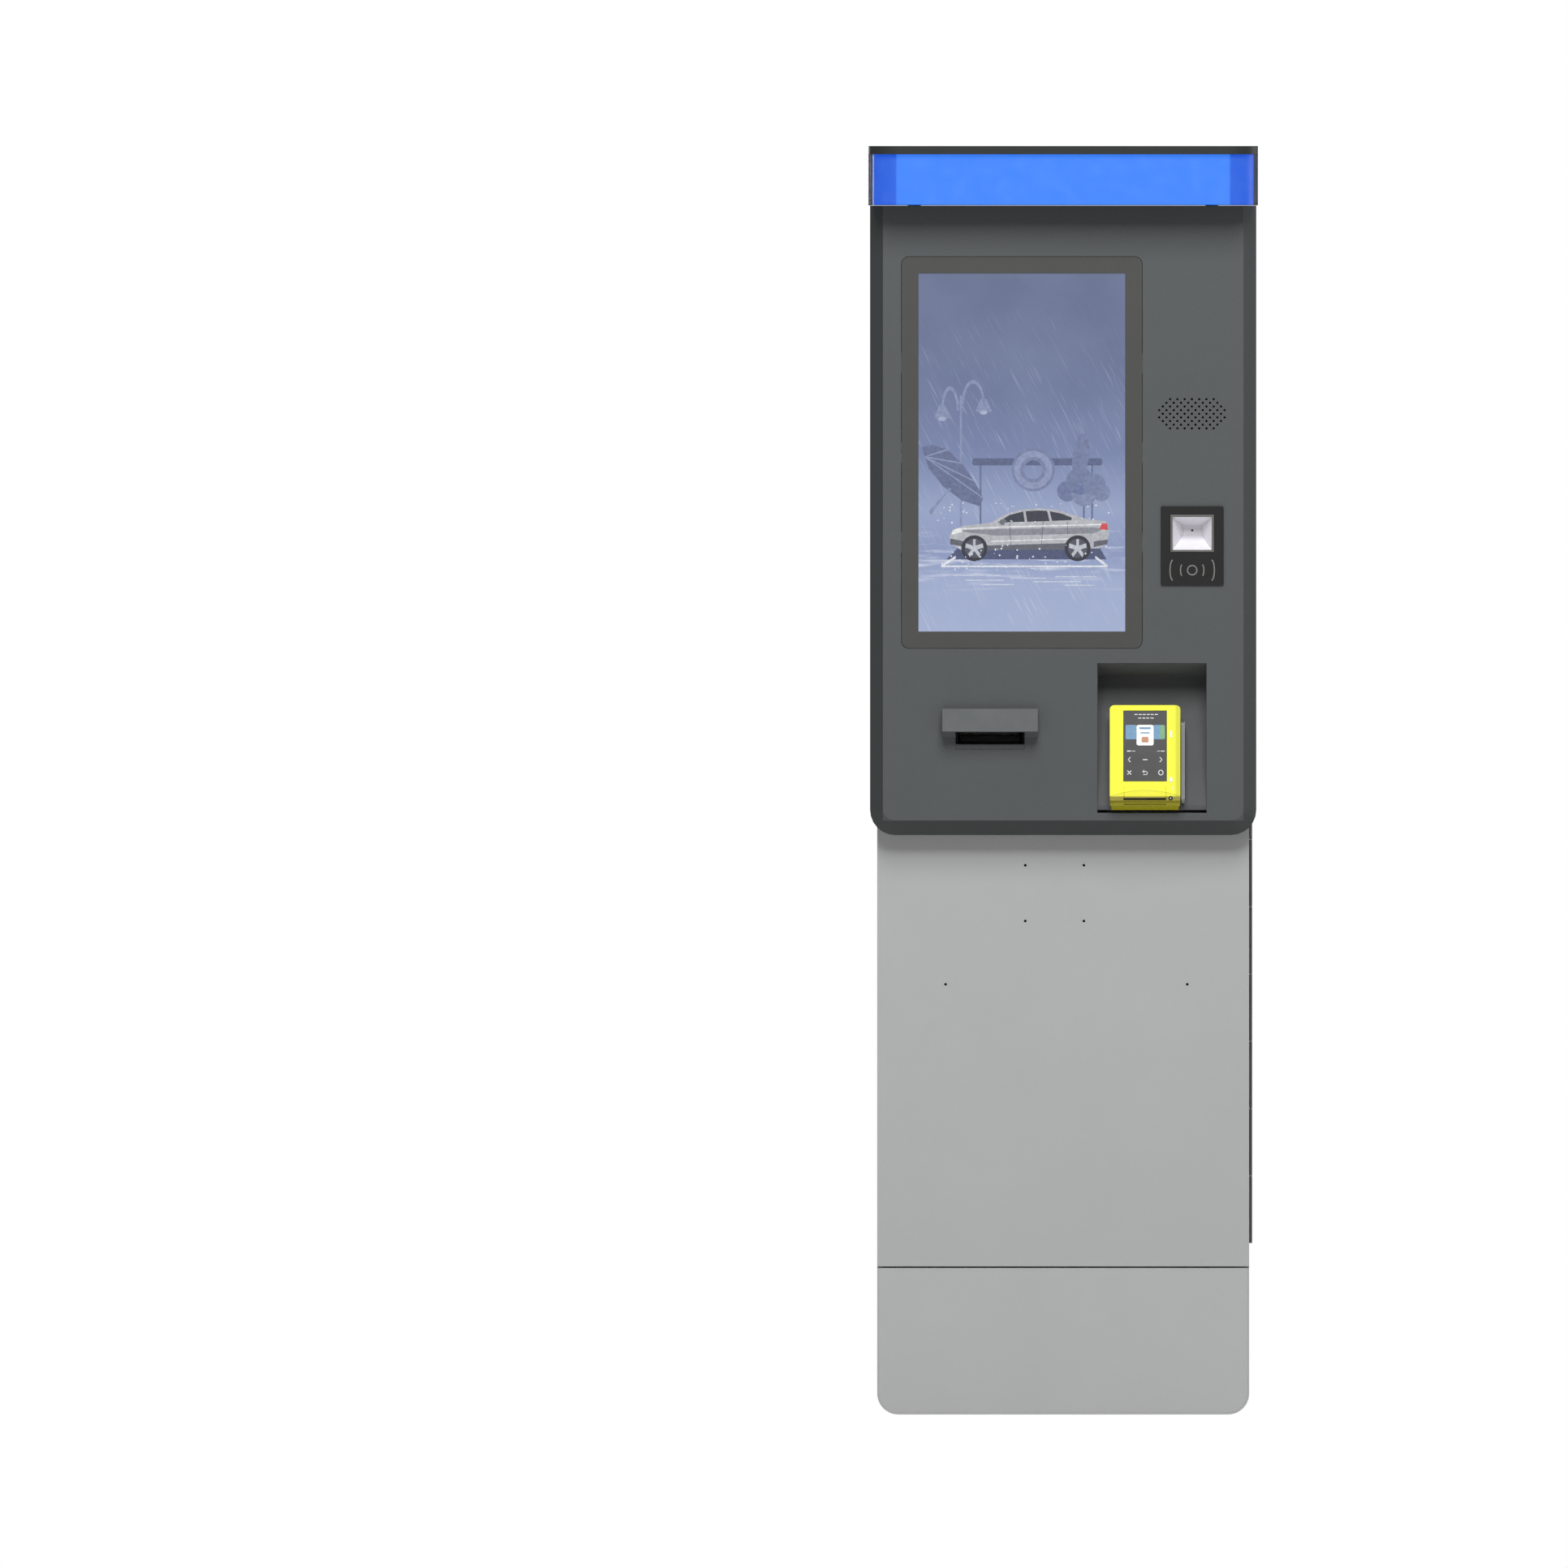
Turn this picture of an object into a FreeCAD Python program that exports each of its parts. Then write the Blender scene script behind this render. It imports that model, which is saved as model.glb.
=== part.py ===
import FreeCAD, Part
import os
import re
import Sketcher

# Parking pay station. Millimetres, +Z up, the user stands at -Y.
# The origin is the centre of the floor anchor pattern, on the floor.

sizes = {
    # cabinet
    "cabinet_width": 495,
    "cabinet_depth": 291.6,
    "cabinet_height": 1608,
    "sheet": 2,
    "bend_radius": 28,
    "plinth_height": 195,
    "seam_gap": 2.2,
    "frame_width": 22,
    "anchor_spacing_wide": 360,
    "anchor_spacing_deep": 200,
    "anchor_hole_radius": 7,
    "base_thickness": 6,
    "base_margin": 30,
    "gland_radius": 25,
    "cable_opening_width": 120,
    "cable_opening_depth": 70,
    # doors
    "front_door_depth": 48,
    "front_door_clearance": 2,
    "rear_door_depth": 22.9,
    "rear_door_clearance": 3,
    "rear_band_height": 96.5,
    "flange_width": 18,
    "seal_width": 12,
    "seal_inset": 0.8,
    "seal_clearance": 0.1,
    # hinges
    "front_knuckle_radius": 2.8,
    "rear_knuckle_radius": 2,
    "front_pin_radius": 1.5,
    "rear_pin_radius": 1.1,
    "pin_clearance": 0.05,
    "leaf_thickness": 0.9,
    "leaf_width": 20,
    "leaf_clearance": 4,
    "return_gap": 0.3,
    "front_tab_start": 0.6,
    "rear_tab_start": 0.5,
    "tab_overlap": 2,
    "hinge_end_margin": 30,
    "hinge_side_clearance": 0.1,
    "knuckle_count": 14,
    "knuckle_gap": 0.4,
    "hinge_cutback": 4,
    # fixing holes in the door below the head panel
    "panel_hole_radius": 1.75,
    "panel_square_centre": -11.4,
    "panel_square_height": 693.7,
    "panel_square_wide": 78,
    "panel_square_tall": 74.2,
    "panel_pair_centre": 4.3,
    "panel_pair_height": 572.4,
    "panel_pair_wide": 321.6,
    # canopy
    "roof_thickness": 11,
    "roof_width": 518.4,
    "roof_front": 253.8,
    "roof_knee": 153.9,
    "roof_rear": 39.6,
    "roof_top": 1688,
    "roof_rear_top": 1620,
    "roof_corner_radius": 38,
    "roof_knee_shift": 3.3,
    "tool_margin": 5,
    "roof_clearance": 0.05,
    "canopy_base": 1609.6,
    "soffit_thickness": 2,
    "band_inset": 5.9,
    "band_thickness": 3,
    "cover_thickness": 2.5,
    "cover_setback": 3.5,
    "cover_gap": 0.5,
    "cover_lift": 1.4,
    "soffit_gap": 0.2,
    "soffit_setback": 12,
    "led_margin": 30,
    "led_start": 26,
    "led_pitch": 55,
    "led_width": 12,
    "led_thickness": 2.5,
    "spacer_radius": 9,
    "canopy_bolt_radius": 3,
    "bolt_clearance": 0.2,
    "canopy_bolt_share": 0.4,
    "canopy_bolt_front": 40,
    "canopy_bolt_rear": 30,
    "bolt_grip": 8,
    "bolt_head_height": 3.5,
    "nut_height": 5,
    # head panel
    "head_width": 514,
    "head_bottom": 771,
    "head_top": 1608.6,
    "head_projection": 48.3,
    "head_bevel": 17.3,
    "head_bevel_depth": 19.4,
    "head_bevel_bottom": 19.6,
    "head_wall": 3,
    "head_corner_radius": 33.5,
    "head_face_radius": 15,
    "head_opening_width": 440,
    "head_opening_bottom": 796,
    "head_opening_top": 1580,
    # display
    "display_centre": -55,
    "display_bottom": 1019.5,
    "display_width": 320,
    "display_height": 521,
    "display_radius": 10,
    "display_thickness": 4,
    "display_gap": 0.6,
    "window_width": 275.2,
    "window_height": 476.4,
    "window_bottom": 1041.9,
    "panel_thickness": 12,
    "panel_overlap": 10,
    "housing_depth": 18,
    "housing_inset_side": 12,
    "housing_inset_end": 20,
    "pane_gap": 0.1,
    "pane_setback": 0.6,
    "clamp_offset": 12,
    "clamp_width": 22,
    "clamp_thickness": 3,
    "clamp_height": 26,
    # speaker
    "speaker_centre": 171.3,
    "speaker_height": 1331.6,
    "speaker_hole_radius": 1.5,
    "speaker_pitch": 9.67,
    "speaker_row_pitch": 4.85,
    "speaker_radius": 38,
    "speaker_depth": 24,
    "speaker_rim": 5,
    "speaker_flange": 3,
    "basket_end_radius": 16,
    "magnet_radius": 20,
    "magnet_depth": 8,
    "cone_depth": 10,
    "cap_radius": 10,
    "cap_depth": 3,
    # scanner
    "scanner_centre": 171.7,
    "scanner_height": 1156.2,
    "scanner_width": 83.5,
    "scanner_tall": 105.3,
    "scanner_projection": 2.5,
    "scanner_body_width": 76,
    "scanner_body_tall": 98,
    "scanner_depth": 38,
    "scanner_window_height": 1172.5,
    "scanner_window_width": 51.9,
    "scanner_window_tall": 43.6,
    "scanner_frame_projection": 0.8,
    "scanner_back_width": 25,
    "scanner_back_tall": 14,
    "scanner_back_lift": 4,
    "scanner_lens_radius": 3,
    "scanner_lens_length": 6,
    "scanner_rim": 3,
    "scanner_corner_radius": 2,
    "scanner_back_wall": 3,
    "scanner_gap": 0.1,
    "scanner_frame_seat": 2,
    "reflector_wall": 1.5,
    "reflector_setback": 10,
    # receipt printer
    "hood_centre": -97.3,
    "hood_width": 127.5,
    "hood_top": 939.3,
    "hood_top_projection": 9.9,
    "hood_projection": 25.7,
    "hood_front_bottom": 908.7,
    "hood_bottom": 900.5,
    "hood_wall": 2.5,
    "slot_width": 91.8,
    "slot_bottom": 885,
    "slot_top": 915,
    "paper_width": 80,
    "roll_setback": 37.8,
    "roll_radius": 38,
    "roll_core_radius": 8,
    "platen_radius": 7,
    "platen_pin_radius": 2.5,
    "motor_radius": 12,
    "motor_shaft_radius": 1.5,
    "gear_module": 1,
    "platen_teeth": 28,
    "pinion_teeth": 10,
    "gear_play": 0.25,
    "gear_offset": 7,
    "gear_width": 5,
    "printer_gap": 3,
    "printer_plate": 2,
    "roll_drop": 20,
    "platen_setback": 26,
    "platen_lift": 12,
    "arm_beyond_roll": 12,
    "arm_below_roll": 26,
    "arm_above_roll": 22,
    "printer_foot_drop": 45,
    "printer_foot_depth": 30,
    "shaft_left": 6,
    "shaft_right": 14,
    "motor_inner": 15,
    "motor_outer": 3,
    # card terminal
    "niche_centre": 118.2,
    "niche_width": 145,
    "niche_bottom": 800.8,
    "niche_depth": 56.7,
    "niche_tilt": 17.4,
    "niche_wall": 2,
    "niche_gap": 0.2,
    "niche_setback": 0.1,
    "terminal_centre": 109,
    "terminal_width": 94,
    "terminal_length": 133.4,
    "terminal_lift": 15.8,
    "terminal_projection": 20.4,
    "terminal_skirt": 5.5,
    "terminal_chamfer": 11,
    "terminal_front_thickness": 3.5,
    "terminal_case_thickness": 5.5,
    "terminal_back_thickness": 14.8,
    "terminal_corner_radius": 6,
    "terminal_screen_width": 58,
    "terminal_screen_length": 99,
    "terminal_screen_start": 27,
    "card_slot_width": 56,
    "rail_width": 4.4,
    "rail_length": 108,
    "lip_inset": 1,
    "lip_gap": 0.2,
    "lip_start": 1.5,
    "lip_depth": 1.5,
    "lip_rise": 0.6,
    "lip_below_screen": 8,
    "screen_setback": 0.5,
    "screen_gap": 0.1,
    "case_growth": 0.4,
    "back_inset": 2,
    "low_edge_step": 0.2,
    "slot_height": 2,
    "slot_place": 2.9,
    "slot_reach": 40,
    "rail_gap": 1.2,
    "rail_wall": 1,
    "rail_start": 4,
    "rail_groove_depth": 8,
    # cabinet equipment
    "equipment_plate_place": 20,
    "supply_width": 215,
    "supply_height": 115,
    "supply_depth": 50,
    "supply_place": 300,
    "controller_width": 230,
    "controller_height": 190,
    "controller_depth": 62,
    "controller_place": 640,
    "breaker_width": 36,
    "breaker_height": 84,
    "breaker_depth": 60,
    "breaker_place": 500,
    "equipment_plate_height": 1080,
    "supply_centre": -60,
    "controller_centre": -30,
    "din_rail_half": 150,
    "din_rail_depth": 7.5,
    "din_rail_height": 35,
    "breaker_centre": 60,
    "breaker_gap": 0.1,
    "breaker_pit_width": 9,
    "breaker_pit_height": 26,
    "breaker_pit_depth": 12,
    "toggle_width": 8,
    "toggle_height": 3.4,
    "toggle_reach": 8,
    "toggle_back": 6,
    "toggle_hub_radius": 3.2,
    "toggle_axle_radius": 1.5,
    "toggle_axle_length": 14,
    "toggle_setback": 5,
    "gland_start": 0.5,
    "gland_rise": 22,
    "gland_collar_width": 6,
    "gland_collar_height": 8,
    "gland_wall": 7,
    # rear door equipment
    "fan_size": 120,
    "fan_depth": 25,
    "fan_bore_radius": 58,
    "impeller_radius": 56,
    "impeller_hub_radius": 20,
    "fan_bridge_depth": 3,
    "fan_bridge_width": 8,
    "fan_spindle_radius": 2,
    "guard_wire_radius": 1,
    "guard_gap": 1.4,
    "guard_bar": 2,
    "blade_depth": 18,
    "blade_thickness": 1.6,
    "blade_setback": 5,
    "hub_front": 1.5,
    "hub_rear": 3.5,
    "spindle_start": 4,
    "hub_cap": 3,
    "fan_lower_height": 1083,
    "fan_spacing": 134,
    "louvre_height": 8,
    "louvre_projection": 6.6,
    "louvre_wall": 1.2,
    "louvre_pitch": 21.5,
    "louvre_length": 92,
    "lower_louvre_length": 220,
    "louvre_drop": 76.8,
    "lower_louvre_height": 310.4,
    "louvre_offset": 125,
    "upper_louvre_count": 14,
    "short_louvre_count": 8,
    "louvre_extra": 20,
    "louvre_foot": 0.3,
    "filter_drop": 15,
    "filter_width": 250,
    "filter_height": 190,
    "filter_depth": 10,
    "lock_place": -203,
    "lock_height": 850,
    "lock_radius": 11,
    "lock_clearance": 0.3,
    "lock_depth": 22,
    "lock_barrel_radius": 6,
    "lock_barrel_start": 4,
    "lock_barrel_recess": 0.5,
    "key_slot_width": 1.6,
    "key_slot_height": 8,
    "key_slot_depth": 8,
    "cam_width": 14,
    "cam_height": 34,
    "cam_thickness": 3,
    "rod_offset": 13,
    "rod_gap": 0.5,
    "rod_overlap": 10,
    "rod_clearance": 6,
    "guide_width": 12,
    "guide_near": 275,
    "guide_far": 500,
    "guide_height": 14,
    "guide_back": 8,
    "rod_radius": 4,
}

doc = FreeCAD.newDocument("pay_station")
sheet = doc.addObject("Spreadsheet::Sheet", "sizes")
for row, (alias, number) in enumerate(sizes.items(), start=1):
    sheet.set(f"A{row}", alias)
    sheet.set(f"B{row}", str(number))
    sheet.setAlias(f"B{row}", alias)
doc.recompute()


def formula(text):
    """A formula over the sheet: every size name in it becomes a reference to its cell."""
    def reference(match):
        return f"sizes.{match[0]}" if match[0] in sizes else match[0]
    return re.sub(r"[a-z][a-z_0-9]*", reference, str(text))


def bind(item, prop, text):
    item.setExpression(prop, formula(text))


AXIS_PROPS = ("Length", "Width", "Height")
TURNS = {"x": ((0, 1, 0), 90), "y": ((1, 0, 0), -90), "z": ((0, 0, 1), 0)}
front = "(-cabinet_depth/2)"
rear = "(cabinet_depth/2)"
side = "(cabinet_width/2)"
inside = "(cabinet_width/2-sheet)"
front_seam = f"({front}+front_door_depth)"
front_frame = f"({front_seam}+seam_gap)"
rear_seam = f"({rear}-rear_door_depth)"
rear_frame = f"({rear_seam}-seam_gap)"
rear_door_bottom = "(plinth_height+rear_door_clearance)"
rear_band_bottom = "(cabinet_height-rear_band_height)"
face = f"({front}-head_projection)"


def centred(centre, width):
    return (f"({centre})-({width})/2", f"({centre})+({width})/2")


def box(name, x, y, z):
    """A box between low and high formulas on each axis."""
    item = doc.addObject("Part::Box", name)
    for prop, axis, (low, high) in zip(AXIS_PROPS, "xyz", (x, y, z)):
        bind(item, prop, f"({high})-({low})")
        bind(item, f"Placement.Base.{axis}", low)
    return item


def cylinder(name, axis, radius, x, y, z):
    """A round bar; its own axis has (low, high), the other two have one formula."""
    item = doc.addObject("Part::Cylinder", name)
    direction, angle = TURNS[axis]
    turn = FreeCAD.Rotation(FreeCAD.Vector(*direction), angle)
    item.Placement = FreeCAD.Placement(FreeCAD.Vector(), turn)
    bind(item, "Radius", radius)
    for letter, place in zip("xyz", (x, y, z)):
        low = place[0] if letter == axis else place
        bind(item, f"Placement.Base.{letter}", low)
        if letter == axis:
            bind(item, "Height", f"({place[1]})-({place[0]})")
    return item


def group(name, items):
    item = doc.addObject("Part::Compound", name)
    item.Links = items
    return item


def fuse(name, *items):
    item = doc.addObject("Part::MultiFuse", name)
    item.Shapes = list(items)
    return item


def cut(name, base, *tools):
    item = doc.addObject("Part::Cut", name)
    item.Base = base
    item.Tool = tools[0] if len(tools) == 1 else fuse(f"{name}_tools", *tools)
    return item


nodes = []


def node(item, label):
    """Registers a finished sub-part under its own label."""
    item.Label = label
    nodes.append(item)
    return item


PLANES = {"XY": "", "XZ": "-", "YZ": ""}


def sketch(body, name, plane, place):
    item = body.newObject("Sketcher::SketchObject", name)
    support = [part for part in body.Origin.OriginFeatures if part.Role == f"{plane}_Plane"][0]
    item.AttachmentSupport = [(support, "")]
    item.MapMode = "FlatFace"
    bind(item, "AttachmentOffset.Base.z", f"{PLANES[plane]}({place})")
    return item


def pin_point(item, line, vertex, x, y):
    """Ties one vertex of the sketch to two formulas."""
    for kind, text in (("DistanceX", x), ("DistanceY", y)):
        index = item.addConstraint(Sketcher.Constraint(kind, -1, 1, line, vertex, 0.0))
        item.setExpression(f"Constraints[{index}]", formula(text))


def polygon(item, points, guess):
    """A closed outline; guess holds rough places that keep the solver on the right side."""
    count = len(points)
    first = item.GeometryCount
    for index in range(count):
        start = FreeCAD.Vector(*guess[index], 0)
        end = FreeCAD.Vector(*guess[(index + 1) % count], 0)
        item.addGeometry(Part.LineSegment(start, end))
    for index in range(count):
        after = first + (index + 1) % count
        item.addConstraint(Sketcher.Constraint("Coincident", first + index, 2, after, 1))
    for index, (x, y) in enumerate(points):
        pin_point(item, first + index, 1, x, y)


def circle(item, x, y, radius):
    index = item.addGeometry(Part.Circle(FreeCAD.Vector(), FreeCAD.Vector(0, 0, 1), 1.0))
    pin_point(item, index, 3, x, y)
    limit = item.addConstraint(Sketcher.Constraint("Radius", index, 1.0))
    item.setExpression(f"Constraints[{limit}]", formula(radius))


def solve_number(text):
    """What a formula gives now, read back from a scratch property of the sheet's document."""
    probe.setExpression("X1", formula(text))
    probe.recompute()
    return probe.X1.Value


probe = doc.addObject("Part::Line", "probe")


def outline(item, points):
    polygon(item, points, [(solve_number(x), solve_number(y)) for x, y in points])


def rectangle(x, y):
    return [(x[0], y[0]), (x[1], y[0]), (x[1], y[1]), (x[0], y[1])]


def pad(body, name, plane, loops, start, end):
    """Adds an extrusion of the outlines between two places along the plane's axis."""
    place = end if plane == "XZ" else start
    item = sketch(body, f"{name}_sketch", plane, place)
    for points in loops:
        outline(item, points)
    feature = body.newObject("PartDesign::Pad", name)
    feature.Profile = item
    bind(feature, "Length", f"({end})-({start})")
    doc.recompute()
    return feature


def pocket(body, name, plane, loops, start, end, circles=()):
    """Removes an extrusion of the outlines and circles between two places."""
    place = start if plane == "XZ" else end
    before = body.Shape.Volume
    item = sketch(body, f"{name}_sketch", plane, place)
    for points in loops:
        outline(item, points)
    for x, y, radius in circles:
        circle(item, x, y, radius)
    feature = body.newObject("PartDesign::Pocket", name)
    feature.Profile = item
    bind(feature, "Length", f"({end})-({start})")
    doc.recompute()
    if not body.Shape.Volume < before:
        raise ValueError(f"{name} cuts nothing")
    return feature


def fillet(body, name, radius, wanted):
    """Rounds the body's edges for which wanted(edge) is true."""
    base = body.Tip
    names = [f"Edge{i}" for i, edge in enumerate(base.Shape.Edges, start=1) if wanted(edge)]
    feature = body.newObject("PartDesign::Fillet", name)
    feature.Base = (base, names)
    bind(feature, "Radius", radius)
    doc.recompute()
    return feature


def along(edge, axis):
    """True for a straight edge that runs along the axis letter."""
    if not isinstance(edge.Curve, Part.Line):
        return False
    return abs(abs(edge.Curve.Direction["xyz".index(axis)]) - 1) < 1e-6


def middle(edge):
    return edge.valueAt((edge.FirstParameter + edge.LastParameter) / 2)


def new_body(name):
    return doc.addObject("PartDesign::Body", name)


def cabinet_shell():
    """Sides and bottom, one bent sheet, cut back where the doors close."""
    body = new_body("cabinet_shell")
    outer = [(f"-{side}", "cabinet_height"), (f"-{side}", "0"), (side, "0"), (side, "cabinet_height"),
             (inside, "cabinet_height"), (inside, "sheet"), (f"-{inside}", "sheet"),
             (f"-{inside}", "cabinet_height")]
    pad(body, "bent_sheet", "XZ", [outer], front, rear)
    low = solve_number("sheet*2")
    corner = solve_number(inside) - 1
    outer_low = solve_number("sheet/2")
    fillet(body, "outer_bends", "bend_radius",
           lambda e: along(e, "y") and abs(middle(e).x) > corner and middle(e).z < outer_low)
    fillet(body, "inner_bends", "bend_radius-sheet",
           lambda e: along(e, "y") and abs(middle(e).x) > corner and outer_low < middle(e).z < low
           and isinstance(e.Curve, Part.Line))
    beyond = f"({side}+1)"
    pocket(body, "front_door_space", "YZ",
           [rectangle((f"{front}-1", front_frame), ("plinth_height", "cabinet_height+1"))],
           f"-{beyond}", beyond)
    pocket(body, "rear_door_space", "YZ",
           [rectangle((rear_frame, f"{rear}+1"), ("plinth_height", rear_band_bottom))],
           f"-{beyond}", beyond)
    pocket(body, "hinge_relief", "YZ",
           [rectangle((f"{front_frame}-1", f"{hinge_front_y}+hinge_cutback"),
                      ("plinth_height", "cabinet_height-sheet"))],
           f"-{beyond}", "0")
    pocket(body, "floor_holes", "XY", [], "-1", "sheet+1", anchor_circles() + [gland_hole])
    return node(body, "cabinet_shell")


hinge_front_x = "(front_knuckle_radius-cabinet_width/2)"
hinge_front_y = f"({front_seam}+seam_gap/2)"
hinge_rear_x = "(cabinet_width/2+rear_knuckle_radius+hinge_side_clearance)"
hinge_rear_y = f"({rear_seam}-seam_gap/2)"
gland_hole = ("0", "0", "gland_radius+bolt_clearance")


def anchor_circles():
    return [(f"{a}*anchor_spacing_wide/2", f"{b}*anchor_spacing_deep/2", "anchor_hole_radius")
            for a in (-1, 1) for b in (-1, 1)]


def base_plate():
    body = new_body("base_plate")
    wide = centred("0", "anchor_spacing_wide+2*base_margin")
    deep = centred("0", "anchor_spacing_deep+2*base_margin")
    pad(body, "plate", "XY", [rectangle(wide, deep)], "sheet", "sheet+base_thickness")
    pocket(body, "holes", "XY", [], "sheet-1", "sheet+base_thickness+1",
           anchor_circles() + [gland_hole])
    return node(body, "base_plate")


def plinth_plate(label, y):
    """Closes one face of the plinth inside the bent sheet."""
    body = new_body(label)
    pad(body, "plate", "XZ", [rectangle((f"-{inside}", inside), ("sheet", "plinth_height-sheet"))], *y)
    fillet(body, "bottom_corners", "bend_radius-sheet",
           lambda e: along(e, "y") and middle(e).z < solve_number("sheet+1"))
    return body


def ring(name, x, y, z, inset):
    """A flat rectangular ring that faces along Y."""
    outer = box(f"{name}_outer", x, y, z)
    hole = box(f"{name}_hole", (f"{x[0]}+{inset}", f"{x[1]}-{inset}"), (f"{y[0]}-1", f"{y[1]}+1"),
               (f"{z[0]}+{inset}", f"{z[1]}-{inset}"))
    return cut(name, outer, hole)


def cabinet_plates():
    across = (f"-{inside}", inside)
    shelf = box("shelf", across, (f"{front}", f"{rear}"), ("plinth_height-sheet", "plinth_height"))
    opening = box("shelf_opening", centred("0", "cable_opening_width"),
                  centred("0", "cable_opening_depth"), ("plinth_height-sheet-1", "plinth_height+1"))
    node(cut("plinth_shelf", shelf, opening), "plinth_shelf")
    top = box("top", across, (front_frame, rear), ("cabinet_height-sheet", "cabinet_height"))
    holes = [cylinder(f"top_hole_{i}", "z", "canopy_bolt_radius+bolt_clearance", x, y,
                      ("cabinet_height-sheet-1", "cabinet_height+1"))
             for i, (x, y) in enumerate(canopy_bolt_places())]
    band = box("band", across, (f"{rear}-sheet", rear), (rear_band_bottom, "cabinet_height-sheet"))
    lip = box("band_lip", across, (rear_frame, f"{rear}-sheet"),
              (rear_band_bottom, f"{rear_band_bottom}+sheet"))
    node(cut("top_panel", fuse("top_fold", top, band, lip), *holes), "top_panel")
    past_knuckle = f"{hinge_front_x}+front_knuckle_radius+hinge_cutback/4"
    height = ("plinth_height", "cabinet_height-sheet")
    front_ring = ring("front_frame_ring", (past_knuckle, inside), (front_frame, f"{front_frame}+sheet"),
                      height, "frame_width")
    return_start = f"({hinge_front_y}+front_knuckle_radius+return_gap)"
    hinge_return = box("hinge_return", (f"-{inside}", f"{past_knuckle}+sheet"),
                       (return_start, f"{return_start}+sheet"), height)
    hinge_step = box("hinge_step", (past_knuckle, f"{past_knuckle}+sheet"),
                     (front_frame, f"{return_start}+sheet"), height)
    rings = [fuse("front_frame", front_ring, hinge_return, hinge_step),
             ring("rear_frame_ring", across, (f"{rear_frame}-sheet", rear_frame),
                  ("plinth_height", rear_band_bottom), "frame_width")]
    node(group("door_frames", rings), "door_frames")


def canopy_bolt_places():
    return [(f"{a}*cabinet_width*canopy_bolt_share", y) for a in (-1, 1)
            for y in (f"{front_frame}+canopy_bolt_front", "roof_rear-canopy_bolt_rear")]


def seals():
    """Pale rubber strips that close the seams, kept clear of the hinge knuckles."""
    hinge_clear = "2*front_knuckle_radius+leaf_width"
    strips = [ring("front_seal_ring", (f"-{side}+{hinge_clear}", f"{side}-seal_inset"),
                   (f"{front_seam}+seal_clearance", front_frame),
                   ("plinth_height", "cabinet_height-sheet"), "seal_width"),
              ring("rear_seal_ring", (f"-{side}+seal_inset", f"{side}-leaf_width-leaf_clearance"),
                   (rear_frame, f"{rear_seam}-seal_clearance"),
                   (f"{rear_door_bottom}+1", f"{rear_band_bottom}-1"), "seal_width")]
    node(group("door_seals", strips), "door_seals")


def hinge(name, x, y, radius, pin_radius, bottom, top, leaf):
    """A piano hinge: knuckles in turn on two leaves, and a pin that the fixed leaf holds."""
    pitch = f"(({top})-({bottom}))/knuckle_count"
    count = sizes["knuckle_count"]
    leaves = {"fixed": [], "moving": []}
    sides = ("fixed", "moving") if radius == "front_knuckle_radius" else ("moving", "fixed")
    rows = {sides[0]: (f"{y}+seam_gap/2-leaf_thickness", f"{y}+seam_gap/2"),
            sides[1]: (f"{y}-seam_gap/2", f"{y}-seam_gap/2+leaf_thickness")}
    for index in range(count):
        owner = "fixed" if index % 2 == 0 else "moving"
        span = (f"{bottom}+{index}*{pitch}+knuckle_gap/2", f"{bottom}+{index + 1}*{pitch}-knuckle_gap/2")
        knuckle = cylinder(f"{name}_{owner}_knuckle_{index}", "z", radius, x, y, span)
        tab = box(f"{name}_{owner}_tab_{index}", leaf[0], rows[owner], span)
        leaves[owner] += [knuckle, tab]
    made = {}
    for owner, items in leaves.items():
        strip = box(f"{name}_{owner}_strip", leaf[1], rows[owner], (bottom, top))
        whole = fuse(f"{name}_{owner}_whole", strip, *items)
        bore = f"{pin_radius}+pin_clearance"
        hole = cylinder(f"{name}_{owner}_bore", "z", bore, x, y, (f"{bottom}-1", f"{top}+1"))
        made[owner] = cut(f"{name}_{owner}_half", whole, hole)
    node(made["moving"], f"{name}_moving_leaf")
    return made["fixed"], cylinder(f"{name}_pin", "z", pin_radius, x, y, (bottom, top))


def hinges():
    """The front door hangs on the left side of the cabinet, the rear door on the right."""
    far = "(knuckle_gap+front_knuckle_radius)"
    front_half, front_pin = hinge(
        "front_hinge", hinge_front_x, hinge_front_y, "front_knuckle_radius", "front_pin_radius",
        "plinth_height+hinge_end_margin", "cabinet_height-hinge_end_margin",
        ((f"{hinge_front_x}+front_pin_radius+front_tab_start", f"{hinge_front_x}+{far}+tab_overlap"),
         (f"{hinge_front_x}+{far}", f"{hinge_front_x}+leaf_width")))
    near = "(knuckle_gap+rear_knuckle_radius)"
    rear_half, rear_pin = hinge(
        "rear_hinge", hinge_rear_x, hinge_rear_y, "rear_knuckle_radius", "rear_pin_radius",
        f"{rear_door_bottom}+hinge_end_margin", f"{rear_band_bottom}-hinge_end_margin",
        ((f"{hinge_rear_x}-{near}-tab_overlap", f"{hinge_rear_x}-rear_pin_radius-rear_tab_start"),
         (f"{hinge_rear_x}-leaf_width", f"{hinge_rear_x}-{near}")))
    node(group("hinge_fixed_leaves", [front_half, rear_half]), "hinge_fixed_leaves")
    node(group("hinge_pins", [front_pin, rear_pin]), "hinge_pins")


roof_half = "(roof_width/2)"
band_half = f"({roof_half}-band_inset)"
band_front = "(cover_setback+cover_thickness+cover_gap-roof_front)"
cover_front = "(cover_setback-roof_front)"
roof_under = "(roof_top-roof_thickness)"
roof_under_rear = "(roof_rear_top-roof_thickness)"


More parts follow.
